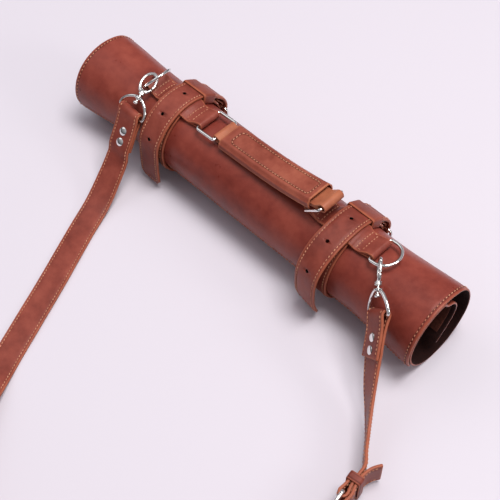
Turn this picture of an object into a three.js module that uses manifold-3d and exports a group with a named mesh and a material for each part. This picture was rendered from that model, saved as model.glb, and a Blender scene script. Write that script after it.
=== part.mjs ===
// A rolled leather case with two buckled belts, a padded carrying handle and a shoulder strap.
//
// Millimetres, +Z up. The case lies on the plane Z = 0. X runs along the axis of the roll, -Y is the
// front, where the belt tails hang down, and the origin is under the middle of the case.
import * as THREE from 'three';
import { mergeVertices } from 'three/addons/utils/BufferGeometryUtils.js';
import Module from 'manifold-3d';

const wasm = await Module();
wasm.setup();

// ---------------------------------------------------------------- driving dimensions
const ROLL_LENGTH = 440;
const ROLL_RADIUS = 37.5;          // outside of the cinched middle
const AXIS_Z = 40.8;                // the axis of the roll above the table
const SHIFT_Y = 3.53;              // puts the origin under the middle of the case

const SHEET = 2.4;                 // outer leather
const TURN_GAP = 0.8;              // between two turns of the rolled sheet
const LINING = 1.2;                // thin leather of the pocket panel
const GAP = 0.3;                   // clearance between neighbouring pieces

const BELT_X = 107;                // centre of each belt from the middle
const BELT_WIDTH = 27;
const BELT = 2.6;
const HOLE_RADIUS = 1.7;
const HOLE_ANGLES = [-6, 31, 66];  // degrees forward of the top

const WIRE = 1.5;                  // radius of the rings' wire
const TAB_WIDTH = 28;
const TAB = 2;
const STRAP_WIDTH = 26;
const STRAP = 2.6;

// ---------------------------------------------------------------- colours
const LEATHER = new THREE.Color('#7d3d32');
const LIGHT_LEATHER = new THREE.Color('#9c5540');
const DARK_LEATHER = new THREE.Color('#5f2c25');
const NICKEL = new THREE.Color('#d9d8d4');

const rad = THREE.MathUtils.degToRad;
const lerp = THREE.MathUtils.lerp;
const smooth = THREE.MathUtils.smoothstep;

const group = new THREE.Group();
group.position.y = SHIFT_Y;

function addMesh(name, geometry, color, metal = false, parent = group) {
  const material = new THREE.MeshStandardMaterial({
    color,
    roughness: metal ? 0.2 : 0.6,
    metalness: metal ? 1 : 0,
  });
  const mesh = new THREE.Mesh(geometry, material);
  mesh.name = name;
  parent.add(mesh);
  return mesh;
}

// ---------------------------------------------------------------- geometry helpers

// Moves every vertex of a geometry, and keeps its faces pointing out.
function remap(geometry, place) {
  const position = geometry.attributes.position;
  const point = new THREE.Vector3();
  for (let i = 0; i < position.count; i += 1) {
    point.fromBufferAttribute(position, i);
    const moved = place(point.x, point.y, point.z);
    position.setXYZ(i, moved.x, moved.y, moved.z);
  }
  geometry.deleteAttribute('normal');
  geometry.deleteAttribute('uv');
  const closed = mergeVertices(geometry, 1e-4);
  if (signedVolume(closed) < 0) {
    const index = closed.index.array;
    for (let i = 0; i < index.length; i += 3) {
      [index[i], index[i + 1]] = [index[i + 1], index[i]];
    }
  }
  closed.computeVertexNormals();
  return closed;
}

function signedVolume(geometry) {
  const position = geometry.attributes.position;
  const index = geometry.index.array;
  const corners = [new THREE.Vector3(), new THREE.Vector3(), new THREE.Vector3()];
  let volume = 0;
  for (let i = 0; i < index.length; i += 3) {
    corners.forEach((corner, k) => corner.fromBufferAttribute(position, index[i + k]));
    volume += corners[0].dot(corners[1].clone().cross(corners[2])) / 6;
  }
  return volume;
}

function solid(geometry) {
  const bare = geometry.clone();
  bare.deleteAttribute('normal');
  bare.deleteAttribute('uv');
  const merged = mergeVertices(bare, 1e-4);
  return new wasm.Manifold(new wasm.Mesh({
    numProp: 3,
    vertProperties: new Float32Array(merged.attributes.position.array),
    triVerts: new Uint32Array(merged.index.array),
  }));
}

function fromSolid(body) {
  const mesh = body.getMesh();
  const geometry = new THREE.BufferGeometry();
  geometry.setAttribute('position', new THREE.BufferAttribute(new Float32Array(mesh.vertProperties), 3));
  geometry.setIndex(new THREE.BufferAttribute(new Uint32Array(mesh.triVerts), 1));
  geometry.computeVertexNormals();
  return geometry;
}

function unite(...geometries) {
  const bodies = geometries.map(solid);
  return fromSolid(bodies.reduce((sum, body) => sum.add(body)));
}

function subtract(geometry, ...tools) {
  return fromSolid(tools.map(solid).reduce((rest, tool) => rest.subtract(tool), solid(geometry)));
}

// A flat strip of leather, bent along a line of points in the plane square to `across`. It has
// `fine` steps between two points; width and thickness may be functions of the point's number.
function bentStrip(points, across, width, thickness, fine = 2) {
  const spans = points.length - 1;
  const curve = new THREE.CatmullRomCurve3(points, false, 'centripetal');
  const valueAt = (value, k) => (typeof value === 'function' ? value(k) : value);
  const strip = new THREE.BoxGeometry(1, 1, 1, spans * fine, 1, 1);
  return remap(strip, (x, y, z) => {
    const t = x + 0.5;
    const normal = new THREE.Vector3().crossVectors(curve.getTangent(t), across).normalize();
    return curve.getPoint(t)
      .addScaledVector(across, y * valueAt(width, t * spans))
      .addScaledVector(normal, z * valueAt(thickness, t * spans));
  });
}

// A strip whose width direction turns on its way: `sides` holds one direction for each point.
function twistedStrip(points, sides, width, thickness, fine = 3) {
  const curve = new THREE.CatmullRomCurve3(points, false, 'centripetal');
  const sideCurve = new THREE.CatmullRomCurve3(sides, false, 'centripetal');
  const strip = new THREE.BoxGeometry(1, 1, 1, (points.length - 1) * fine, 1, 1);
  return remap(strip, (x, y, z) => {
    const t = x + 0.5;
    const tangent = curve.getTangent(t);
    const side = sideCurve.getPoint(t);
    side.addScaledVector(tangent, -side.dot(tangent)).normalize();
    const normal = new THREE.Vector3().crossVectors(tangent, side).normalize();
    return curve.getPoint(t)
      .addScaledVector(side, y * width)
      .addScaledVector(normal, z * thickness);
  });
}

// A ring of round wire along a closed outline in the XY plane.
function wireRing(outline, radius, curveSteps = 6, sides = 8) {
  const points = outline.getPoints(curveSteps)
    .filter((point, i, all) => point.distanceTo(all[(i + 1) % all.length]) > 0.01);
  const count = points.length;
  const torus = new THREE.TorusGeometry(10, 1, sides, count);
  return remap(torus, (x, y, z) => {
    const turn = (Math.atan2(y, x) / (2 * Math.PI) + 1) % 1;
    const i = Math.round(turn * count) % count;
    const arriving = points[i].clone().sub(points[(i + count - 1) % count]).normalize();
    const leaving = points[(i + 1) % count].clone().sub(points[i]).normalize();
    const tangent = arriving.add(leaving).normalize();
    const out = Math.hypot(x, y) - 10;
    return v(points[i].x + tangent.y * out * radius, points[i].y - tangent.x * out * radius, z * radius);
  });
}

// Round wire along an open line.
function wire(points, radius, steps, sides = 8) {
  const section = new THREE.Shape();
  section.absarc(0, 0, radius, 0, 2 * Math.PI);
  const curve = points.isCurve ? points : new THREE.CatmullRomCurve3(points, false, 'centripetal');
  return new THREE.ExtrudeGeometry(section, {
    steps,
    curveSegments: sides / 2,
    bevelEnabled: false,
    extrudePath: curve,
  });
}

function roundedRectangle(width, height, corner, centreY = 0) {
  const shape = new THREE.Shape();
  const x = width / 2;
  const top = centreY + height / 2;
  const bottom = centreY - height / 2;
  shape.moveTo(x, centreY);
  shape.lineTo(x, top - corner);
  shape.absarc(x - corner, top - corner, corner, 0, Math.PI / 2);
  shape.absarc(-x + corner, top - corner, corner, Math.PI / 2, Math.PI);
  shape.absarc(-x + corner, bottom + corner, corner, Math.PI, 1.5 * Math.PI);
  shape.absarc(x - corner, bottom + corner, corner, 1.5 * Math.PI, 2 * Math.PI);
  shape.closePath();
  return shape;
}

// A cylinder whose axis runs between two points.
function rod(from, to, radius, sides = 12) {
  const axis = to.clone().sub(from);
  const geometry = new THREE.CylinderGeometry(radius, radius, axis.length(), sides);
  const turn = new THREE.Quaternion();
  turn.setFromUnitVectors(new THREE.Vector3(0, 1, 0), axis.clone().normalize());
  const middle = from.clone().add(to).multiplyScalar(0.5);
  return remap(geometry, (x, y, z) => new THREE.Vector3(x, y, z).applyQuaternion(turn).add(middle));
}

function v(x, y, z) {
  return new THREE.Vector3(x, y, z);
}

// A point around the roll: the angle is in degrees from the top toward the front.
function around(angle, radius, x = 0) {
  return v(x, -radius * Math.sin(rad(angle)), AXIS_Z + radius * Math.cos(rad(angle)));
}

// ---------------------------------------------------------------- the rolled sheet

// The sheet starts at its free edge, low on the front, winds up the front and over the top, passes
// under its own free edge and ends in a loose inner tail.
const FREE_EDGE_ANGLE = 113;
const SECOND_TURN_END = 468;
const STEP_IN = [300, 358];
const INNER_TAIL = [[2.5, 72.2], [12, 66.5], [17, 57], [15.5, 46], [8, 34], [-3, 21]];
const STATIONS = [-1, -0.96, -0.89, -0.79, -0.65, 0.65, 0.79, 0.89, 0.96, 1];
const TURN_STEP = 18;
const PANEL_GAP = 0.5;

// 0 in the cinched middle of the roll, 1 at its open ends.
function looseness(x) {
  return smooth(Math.abs(x), 142, 224);
}

function turnRadius(turned, x) {
  const angle = FREE_EDGE_ANGLE - turned;
  const bump = 2 * Math.exp(-(((angle + 35) / 22) ** 2));
  const flare = looseness(x) * (4.4 + 2.8 * Math.cos(rad(angle - 80)) + bump);
  return ROLL_RADIUS - SHEET / 2 + flare - (SHEET + TURN_GAP) * smooth(turned, ...STEP_IN);
}

// The middle of the sheet at one cross-section. Its lowest stretch lies flat on the table.
function sheetSection(x) {
  const points = [];
  for (let turned = 0; turned <= SECOND_TURN_END; turned += TURN_STEP) {
    const point = around(FREE_EDGE_ANGLE - turned, turnRadius(turned, x));
    point.z = Math.max(point.z, SHEET / 2);
    points.push(v(0, point.y, point.z));
  }
  INNER_TAIL.forEach(([y, z]) => points.push(v(0, y, z)));
  return points;
}

// A sheet that follows the section between two of its points, offset inward.
function rolledSheet(first, last, inward, thickness, length) {
  const lengthSteps = STATIONS.length - 1;
  const stations = STATIONS.map((share) => share * length / 2);
  const curves = stations.map((x) => new THREE.CatmullRomCurve3(sheetSection(x), false, 'centripetal'));
  const spans = curves[0].points.length - 1;
  const flat = new THREE.BoxGeometry(1, 1, 1, 2 * (last - first), lengthSteps, 1);
  return remap(flat, (a, b, c) => {
    const k = Math.round((b + 0.5) * lengthSteps);
    const t = lerp(first, last, a + 0.5) / spans;
    const tangent = curves[k].getTangent(t);
    const point = curves[k].getPoint(t);
    point.addScaledVector(v(0, tangent.z, -tangent.y), inward + c * thickness);
    return v(stations[k], point.y, Math.max(point.z, 0));
  });
}

const SHEET_END = sheetSection(0).length - 1;
const PANEL_INWARD = SHEET / 2 + PANEL_GAP + LINING / 2;

addMesh('outer_sheet', rolledSheet(0, SHEET_END, 0, SHEET, ROLL_LENGTH), LEATHER);
addMesh(
  'pocket_panel',
  rolledSheet(SHEET_END - 9, SHEET_END - 0.5, PANEL_INWARD, LINING, ROLL_LENGTH - 8),
  DARK_LEATHER,
);

// ---------------------------------------------------------------- belts
const UNDER_RADIUS = ROLL_RADIUS + 0.4 + BELT / 2;
const UNDER_LIFT = 1.2;            // room for the keeper's inner leaf, under the top of the belt
const TAB_INNER = UNDER_RADIUS + UNDER_LIFT + BELT / 2 + GAP;
const TAIL_RADIUS = TAB_INNER + TAB + GAP + BELT / 2;
const HEEL_ANGLE = -77;
const HEEL_RADIUS = 43.4;
const BAR = 1.5;                   // radius of the buckle's wire
const EYE = 2.9;                   // outer radius of the prong's eye
const CHAPE = 1.4;                 // the belt's end is skived thin where it folds round the heel bar
const CHAPE_WIDTH = 21;
const ROLLER_ANGLE = -104;
const ROLLER_OUTER = 2.6;
const ROLLER_RADIUS = UNDER_RADIUS + BELT / 2 + GAP + ROLLER_OUTER + 0.2;
const FRAME_HALF = 18.4;
const PRONG = 1.1;
const KEEPER_ANGLES = [-43, -21];
const KEEPER_LEATHER = 1.6;

// The free tails hang down the front: the left one close to the roll, the right one wide of it.
const TAILS = {
  left: { standoff: [0, 0, 0, 0.8], end: [[-46, 30], [-46, 15], [-45, 4]], lean: 1 },
  right: { standoff: [1, 4, 7, 8], end: [[-51.5, 30], [-48, 16], [-43, 4]], lean: 4 },
};

function underRadius(angle) {
  return UNDER_RADIUS + UNDER_LIFT * (1 - smooth(angle, 24, 50));
}

const heelBar = around(HEEL_ANGLE, HEEL_RADIUS);
const rollerBar = around(ROLLER_ANGLE, ROLLER_RADIUS);
const toRoller = rollerBar.clone().sub(heelBar).normalize();
const FRAME_LENGTH = rollerBar.distanceTo(heelBar);

// A point beside the heel bar: `out` away from the roll, `back` toward the roller.
function byHeel(out, back, x = 0) {
  return heelBar.clone()
    .addScaledVector(v(0, -toRoller.z, toRoller.y), out)
    .addScaledVector(toRoller, back)
    .setX(x);
}

// The middle of the belt: from its skived end round the heel bar, over the top, down the front and
// under the roll, through the buckle and over the top again to the tip of the tail.
function beltLine(side) {
  const fold = BAR + GAP + CHAPE / 2;
  const points = [around(-60, 42.9), around(-66, 43.7), around(-71.5, 45.1)];
  for (let turn = 0; turn <= 180; turn += 36) {
    points.push(byHeel(fold * Math.cos(rad(turn)), fold * Math.sin(rad(turn))));
  }
  for (let angle = -66; angle <= 249; angle += 17.5) {
    points.push(around(angle, underRadius(angle)));
  }
  const rise = [[256, 39.2], [262, 40.7], [268, 43.3], [274, 45.9], [280, 47.9], [288, 48.4], [297, 47.6]];
  rise.forEach(([angle, radius]) => points.push(around(angle, radius)));
  for (let angle = 308; angle <= 368; angle += 15) {
    points.push(around(angle, TAIL_RADIUS));
  }
  const tail = TAILS[side];
  tail.standoff.forEach((off, i) => points.push(around(20 + 17 * i, TAIL_RADIUS + off)));
  tail.end.forEach(([y, z]) => points.push(v(0, y, z)));
  return points;
}

function prongLine(x) {
  const resting = ROLLER_OUTER + PRONG + 0.15;
  return [[EYE - 0.8, 0.6], [EYE + 0.6, 4], [4.3, 0.55 * FRAME_LENGTH], [resting, FRAME_LENGTH + 1.5]]
    .map(([out, back]) => byHeel(out, back, x));
}

function belt(side, x) {
  const points = beltLine(side);
  const tip = points.length - 1;
  const taper = (k) => 1 - 0.3 * smooth(k, tip - 1, tip);
  const width = (k) => lerp(CHAPE_WIDTH, BELT_WIDTH, smooth(k, 8.6, 9.4)) * taper(k);
  const thickness = (k) => lerp(CHAPE, BELT, smooth(k, 8, 10));
  const strip = bentStrip(points, v(1, 0, 0), width, thickness);
  const leaning = remap(strip, (px, py, pz) => {
    const free = smooth(-py, 26, 50) * smooth(Math.hypot(py, pz - AXIS_Z), 42.3, 45);
    return v(px + x, py - (px / BELT_WIDTH) * TAILS[side].lean * free, pz);
  });
  const punches = HOLE_ANGLES.map((angle) => (
    rod(around(angle, TAIL_RADIUS - 1.7, x), around(angle, TAIL_RADIUS + 11, x), HOLE_RADIUS, 10)));
  const line = prongLine(x);
  const chapeSlot = placed(new THREE.BoxGeometry(4.6, 9, 9), byHeel(0, 0.2, x), v(1, 0, 0), toRoller);
  return subtract(leaning, ...punches, chapeSlot, rod(byHeel(3.2, 1, x), line[2], PRONG + 1, 10));
}

// Turns a flat outline's solid so that its X and Y run along two given directions from an origin.
function placed(geometry, origin, xAxis, yAxis) {
  const across = xAxis.clone().normalize();
  const along = yAxis.clone().addScaledVector(across, -yAxis.dot(across)).normalize();
  const basis = new THREE.Matrix4().makeBasis(across, along, across.clone().cross(along));
  return remap(geometry, (x, y, z) => v(x, y, z).applyMatrix4(basis).add(origin));
}

function buckleFrame(x) {
  const outline = roundedRectangle(2 * FRAME_HALF, FRAME_LENGTH, 3.5, FRAME_LENGTH / 2);
  return placed(wireRing(outline, BAR, 2), byHeel(0, 0, x), v(1, 0, 0), toRoller);
}

function roller(x) {
  const at = (offset) => around(ROLLER_ANGLE, ROLLER_RADIUS, x + offset);
  const half = FRAME_HALF - 4.2;
  return subtract(rod(at(-half), at(half), ROLLER_OUTER, 14), rod(at(-20), at(20), BAR + 0.25, 12));
}

// The prong curls round the heel bar, goes through a belt hole and rests on the roller.
function prong(x) {
  const eye = rod(byHeel(0, 0, x - 1.7), byHeel(0, 0, x + 1.7), EYE, 14);
  const bore = rod(byHeel(0, 0, x - 3), byHeel(0, 0, x + 3), BAR + 0.25, 12);
  return subtract(unite(wire(prongLine(x), PRONG, 8, 8), eye), bore);
}

// A loop of leather round both layers of the belt.
function keeper(x) {
  const bottom = ROLL_RADIUS + 0.3;
  const innerFloor = bottom + 1;
  const innerRoof = TAIL_RADIUS + BELT / 2 + 0.4;
  const top = innerRoof + KEEPER_LEATHER;
  const half = BELT_WIDTH / 2 + 0.5;
  const ring = roundedRectangle(2 * (half + KEEPER_LEATHER), top - bottom, 2.4, (top + bottom) / 2);
  ring.holes.push(roundedRectangle(2 * half, innerRoof - innerFloor, 1, (innerRoof + innerFloor) / 2));
  const options = { depth: 1, steps: 4, bevelEnabled: false, curveSegments: 2 };
  const block = new THREE.ExtrudeGeometry(ring, options);
  return remap(block, (px, py, pz) => around(lerp(...KEEPER_ANGLES, pz), py, px + x));
}

// ---------------------------------------------------------------- ring tabs
const FOLD_REACH = 37.5;           // ring bar from the middle of the belt
const FOLD_RADIUS = 42;            // ring bar from the axis of the roll
const WIRE_ROOM = WIRE + 0.35;
const FOLD = WIRE_ROOM + 1.8;      // outside of the fold round a ring bar

// Half of a tab's outline: [distance from the belt's middle, distance from the roll's axis].
const TAB_FLOOR = ROLL_RADIUS + 0.35;
const TAB_TOP = [[20, TAB_FLOOR + 3.6], [15.6, TAB_INNER + TAB - 0.2], [13, TAB_INNER + TAB]];
const TAB_TUNNEL = [[14, TAB_INNER], [15.2, TAB_INNER - 1.6], [16.4, TAB_FLOOR]];

// One strap is stitched to the roll either side of the belt and folded round a ring at each end.
function ringTab(x) {
  const outline = new THREE.Shape();
  outline.moveTo(0, TAB_INNER + TAB);
  TAB_TOP.slice().reverse().forEach(([a, b]) => outline.lineTo(-a, b));
  outline.lineTo(-26, TAB_FLOOR + 4);
  outline.absarc(-FOLD_REACH, FOLD_RADIUS, FOLD, rad(80), rad(270));
  outline.lineTo(-28, TAB_FLOOR);
  TAB_TUNNEL.slice().reverse().forEach(([a, b]) => outline.lineTo(-a, b));
  TAB_TUNNEL.forEach(([a, b]) => outline.lineTo(a, b));
  outline.lineTo(28, TAB_FLOOR);
  outline.absarc(FOLD_REACH, FOLD_RADIUS, FOLD, rad(-90), rad(100));
  outline.lineTo(26, TAB_FLOOR + 4);
  TAB_TOP.forEach(([a, b]) => outline.lineTo(a, b));
  outline.closePath();
  [-1, 1].forEach((end) => {
    const hole = new THREE.Path();
    hole.absarc(end * FOLD_REACH, FOLD_RADIUS, WIRE_ROOM, rad(90 - end * 10), rad(90 - end * 170), end > 0);
    hole.lineTo(end * 29, TAB_FLOOR + 2.1);
    hole.closePath();
    outline.holes.push(hole);
  });
  const options = { depth: 1, steps: 4, bevelEnabled: false, curveSegments: 4 };
  const block = new THREE.ExtrudeGeometry(outline, options);
  return remap(block, (a, b, c) => {
    const flatness = smooth(Math.abs(a), 22, 33);
    const offset = (c - 0.5) * (TAB_WIDTH - 4 * flatness);
    const curved = around(THREE.MathUtils.radToDeg(offset / FOLD_RADIUS), b, x + a);
    return curved.lerp(v(x + a, -offset, AXIS_Z + b), flatness);
  });
}

// ---------------------------------------------------------------- rings
const RING_HALF = 15;
const RING_REACH = 23;
const D_HALF = 14.7;
const LEANS = { leftD: 51.5, rightD: 8, leftHandle: 3.2, rightHandle: 42 };

function ringPlace(geometry, x, lean) {
  const bar = v(x, 0, AXIS_Z + FOLD_RADIUS);
  return placed(geometry, bar, v(0, 1, 0), v(Math.cos(rad(lean)), 0, Math.sin(rad(lean))));
}

function dRing(x, lean) {
  const outline = new THREE.Shape();
  outline.moveTo(0, 0);
  outline.absarc(D_HALF - 2.5, 2.5, 2.5, rad(-90), 0);
  outline.absellipse(0, 6.5, D_HALF, 14, 0, Math.PI);
  outline.absarc(-D_HALF + 2.5, 2.5, 2.5, Math.PI, rad(270));
  outline.closePath();
  return ringPlace(wireRing(outline, WIRE, 5), x, lean);
}

function handleRing(x, lean) {
  const outline = roundedRectangle(2 * RING_HALF, RING_REACH, 2.6, RING_REACH / 2);
  return ringPlace(wireRing(outline, WIRE, 2), x, lean);
}

['left', 'right'].forEach((side) => {
  const left = side === 'left';
  const x = left ? -BELT_X : BELT_X;
  const outer = left ? x - FOLD_REACH : x + FOLD_REACH;
  const inner = left ? x + FOLD_REACH : x - FOLD_REACH;
  addMesh(`${side}_belt`, belt(side, x), LEATHER);
  addMesh(`${side}_belt_keeper`, keeper(x), LEATHER);
  addMesh(`${side}_buckle_frame`, buckleFrame(x), NICKEL, true);
  addMesh(`${side}_buckle_roller`, roller(x), NICKEL, true);
  addMesh(`${side}_buckle_prong`, prong(x), NICKEL, true);
  addMesh(`${side}_ring_tab`, ringTab(x), LEATHER);
  addMesh(`${side}_d_ring`, dRing(outer, left ? LEANS.leftD : LEANS.rightD), NICKEL, true);
  const handleLean = left ? LEANS.leftHandle : LEANS.rightHandle;
  addMesh(`${side}_handle_ring`, handleRing(inner, handleLean), NICKEL, true);
});

// ---------------------------------------------------------------- carrying handle
const HANDLE_WIDTH = 26;
const HANDLE_STRAP = 2.4;
const HANDLE_FLOOR = -4.2;         // underside of the handle below the line through its ring bars
const COVER_WIDTH = 32;
const COVER_TOP = 5.2;
const COVER = 1.6;
const SLACK_ROOM = 2.75;            // inside of the slack loop round the right ring
const SLACK_LOOP = SLACK_ROOM + 1.7;

function ringEnd(x, lean) {
  return v(x + RING_REACH * Math.cos(rad(lean)), 0, AXIS_Z + FOLD_RADIUS + RING_REACH * Math.sin(rad(lean)));
}

const handleLine = new THREE.CatmullRomCurve3([
  ringEnd(FOLD_REACH - BELT_X, LEANS.leftHandle),
  v(-20, 0, 84.8),
  v(20, 0, 86.8),
  v(55, 0, 91.3),
  ringEnd(BELT_X - FOLD_REACH, LEANS.rightHandle),
], false, 'centripetal');
const HANDLE_LENGTH = handleLine.getLength();

// A point at a distance along the handle's line, `up` above it and `side` across it.
function onHandle(distance, up, side) {
  const u = THREE.MathUtils.clamp(distance / HANDLE_LENGTH, 0, 1);
  const tangent = handleLine.getTangentAt(u);
  return handleLine.getPointAt(u)
    .addScaledVector(tangent, distance - u * HANDLE_LENGTH)
    .addScaledVector(v(-tangent.z, 0, tangent.x), up)
    .add(v(0, side, 0));
}

function lineTo(shape, x, y, steps) {
  const from = shape.currentPoint.clone();
  for (let i = 1; i <= steps; i += 1) {
    shape.lineTo(lerp(from.x, x, i / steps), lerp(from.y, y, i / steps));
  }
}

// The base strap is folded back round a ring bar at each end.
function handleStrap() {
  const end = HANDLE_LENGTH;
  const top = HANDLE_FLOOR + HANDLE_STRAP;
  const outline = new THREE.Shape();
  outline.moveTo(9, top + 1.6);
  outline.absarc(0, 0, FOLD, rad(65), rad(275));
  outline.lineTo(9, HANDLE_FLOOR);
  lineTo(outline, end - 9, HANDLE_FLOOR, 10);
  outline.absarc(end, 0, SLACK_LOOP, rad(-95), rad(115));
  outline.lineTo(end - 9, top + 1.6);
  outline.lineTo(end - 20, top + 1.6);
  outline.lineTo(end - 20.6, top);
  lineTo(outline, 20.6, top, 8);
  outline.lineTo(20, top + 1.6);
  outline.closePath();
  [[0, WIRE_ROOM, 1], [end, SLACK_ROOM, -1]].forEach(([centre, room, inward]) => {
    const hole = new THREE.Path();
    hole.absarc(centre, 0, room, rad(90 - inward * 30), rad(90 + inward * 190), inward < 0);
    hole.lineTo(centre + inward * 6.5, -1.4);
    hole.closePath();
    outline.holes.push(hole);
  });
  const block = new THREE.ExtrudeGeometry(outline, { depth: 1, bevelEnabled: false, curveSegments: 6 });
  return remap(block, (a, b, c) => onHandle(a, b, (c - 0.5) * HANDLE_WIDTH * 0.94));
}

function handlePadding() {
  const from = 23;
  const to = HANDLE_LENGTH - 24;
  const bottom = HANDLE_FLOOR + HANDLE_STRAP + GAP;
  const top = COVER_TOP - COVER - GAP;
  const block = new THREE.BoxGeometry(1, 1, 1, 8, 1, 1);
  return remap(block, (a, b, c) => {
    const half = lerp(12.6, 11.6, c + 0.5);
    return onHandle(lerp(from, to, a + 0.5), lerp(bottom, top, c + 0.5), 2 * b * half);
  });
}

// The cover is moulded over the padding: a flat top and two sloping sides.
function handleCover() {
  const half = COVER_WIDTH / 2;
  const outline = new THREE.Shape();
  outline.moveTo(-half, HANDLE_FLOOR);
  outline.lineTo(-half, -1.2);
  outline.quadraticCurveTo(-half + 1.2, COVER_TOP - 0.8, -half + 5, COVER_TOP);
  outline.lineTo(half - 5, COVER_TOP);
  outline.quadraticCurveTo(half - 1.2, COVER_TOP - 0.8, half, -1.2);
  outline.lineTo(half, HANDLE_FLOOR);
  outline.lineTo(half - COVER, HANDLE_FLOOR);
  outline.lineTo(half - COVER, -1.2);
  outline.lineTo(half - 3.6, COVER_TOP - COVER);
  outline.lineTo(-half + 3.6, COVER_TOP - COVER);
  outline.lineTo(-half + COVER, -1.2);
  outline.lineTo(-half + COVER, HANDLE_FLOOR);
  outline.closePath();
  const options = { depth: 1, steps: 10, bevelEnabled: false, curveSegments: 4 };
  const block = new THREE.ExtrudeGeometry(outline, options);
  return remap(block, (a, b, c) => onHandle(lerp(7, HANDLE_LENGTH - 13, c), b, a));
}

addMesh('handle_strap', handleStrap(), LEATHER);
addMesh('handle_padding', handlePadding(), DARK_LEATHER);
addMesh('handle_cover', handleCover(), LIGHT_LEATHER);

// ---------------------------------------------------------------- swivel clasps
const HOOK_WIRE = 1.6;
const HOOK_CENTRE = 17.5;          // middle of the hook's loop from the swivel
const HOOK_HALF = 7;
const HOOK_REACH = 10.5;
const SWIVEL_BORE = 2.3;
const BOW_HALF = 16;

// Where each clasp hangs: the swivel, the strap bar under it, the far end of the hook, the
// direction of the strap bar and the direction across the hook's loop.
const CLASPS = {
  left: {
    swivel: v(-138, -26.5, 82),
    bar: v(-138.5, -37.5, 70),
    hookEnd: v(-144, 1.5, 91.5),
    across: v(0.995, -0.02, -0.1),
    hookAcross: v(0.97, 0.24, -0.15),
  },
  right: {
    swivel: v(170, -31.2, 80.9),
    bar: v(182.1, -42.1, 68),
    hookEnd: v(152, -8.4, 88.3),
    across: v(0.66, -0.1, 0.74),
    hookAcross: v(0.3, -0.3, 0.9),
  },
};

function bow(clasp) {
  const up = clasp.swivel.clone().sub(clasp.bar);
  const reach = up.length();
  const outline = new THREE.Shape();
  outline.moveTo(0, 0);
  outline.lineTo(BOW_HALF - 1.5, 0);
  outline.quadraticCurveTo(BOW_HALF + 0.3, 0.2, BOW_HALF, 3.5);
  outline.bezierCurveTo(BOW_HALF - 0.5, 9, 9, reach - 2, 3, reach);
  outline.lineTo(-3, reach);
  outline.bezierCurveTo(-9, reach - 2, -BOW_HALF + 0.5, 9, -BOW_HALF, 3.5);
  outline.quadraticCurveTo(-BOW_HALF - 0.3, 0.2, -BOW_HALF + 1.5, 0);
  outline.closePath();
  const ring = placed(wireRing(outline, HOOK_WIRE, 5, 6), clasp.bar, clasp.across, up);
  const along = up.clone().normalize();
  const at = (distance) => clasp.swivel.clone().addScaledVector(along, distance);
  const collar = rod(at(-1.2), at(1.2), SWIVEL_BORE + 1.6, 14);
  return subtract(unite(ring, collar), rod(at(-4), at(4), SWIVEL_BORE, 14));
}

function hookLoop(clasp, radius) {
  const outline = new THREE.Shape();
  outline.absellipse(0, HOOK_CENTRE, HOOK_HALF, HOOK_REACH, 0, 2 * Math.PI);
  const along = clasp.hookEnd.clone().sub(clasp.swivel);
  const tilt = clasp.hookAcross.dot(along) / along.lengthSq();
  const across = clasp.hookAcross.clone().addScaledVector(along, -tilt);
  return placed(wireRing(outline, radius, 12, 6), clasp.swivel, across, along);
}

// The part of the loop that opens, as a block in the hook's own directions.
function gateBlock(clasp, from, to) {
  const along = clasp.hookEnd.clone().sub(clasp.swivel);
  const tilt = clasp.hookAcross.dot(along) / along.lengthSq();
  const across = clasp.hookAcross.clone().addScaledVector(along, -tilt);
  const block = new THREE.BoxGeometry(6, to - from, 8);
  block.translate(HOOK_HALF, HOOK_CENTRE + (from + to) / 2, 0);
  return placed(block, clasp.swivel, across, along);
}

function hook(clasp) {
  const along = clasp.hookEnd.clone().sub(clasp.swivel).normalize();
  const at = (distance) => clasp.swivel.clone().addScaledVector(along, distance);
  const ball = new THREE.SphereGeometry(2.7, 10, 6);
  ball.translate(...at(-6).toArray());
  const post = rod(at(-5), at(5), 1.1, 10);
  const neck = rod(at(3.6), at(7.6), 2.9, 12);
  return subtract(unite(hookLoop(clasp, HOOK_WIRE), post, neck, ball), gateBlock(clasp, -5.5, 6));
}

function gate(clasp) {
  return fromSolid(solid(hookLoop(clasp, HOOK_WIRE - 0.2)).intersect(solid(gateBlock(clasp, -4.8, 5.7))));
}

['left', 'right'].forEach((side) => {
  const clasp = CLASPS[side];
  addMesh(`${side}_clasp_bow`, bow(clasp), NICKEL, true);
  addMesh(`${side}_clasp_hook`, hook(clasp), NICKEL, true);
  addMesh(`${side}_clasp_gate`, gate(clasp), NICKEL, true);
});

// ---------------------------------------------------------------- shoulder strap
const STRAP_FOLD = HOOK_WIRE + 2 * GAP + STRAP / 2;
const LAYER = (STRAP + GAP) / 2;   // middle of each layer from the middle of a double end
const RIVETS = [20, 31];           // from the ring bar
const SHORT_END = 38;
const RIVET_HEAD = 3.4;

// The doubled end of a strap round a bar: points beside the bar, `away` along the strap and
// `off` to the side of the layer that goes on. They run from the short end to the long layer.
const FOLD_TURNS = [-90, -45, 0, 45, 90]
  .map((turn) => [-STRAP_FOLD * Math.cos(rad(turn)), STRAP_FOLD * Math.sin(rad(turn))]);
const DOUBLED_END = [
  [SHORT_END, -LAYER], [28, -LAYER], [17, -LAYER], [8, -2.3],
  ...FOLD_TURNS,
  [8, 2.3], [17, LAYER], [28, LAYER], [36, LAYER],
];

function strapEnd(bar, across, along, sign) {
  const off = across.clone().cross(along).normalize().multiplyScalar(sign);
  return (away, side, width = 0) => bar.clone()
    .addScaledVector(along, away)
    .addScaledVector(off, side)
    .addScaledVector(across, width);
}

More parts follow.
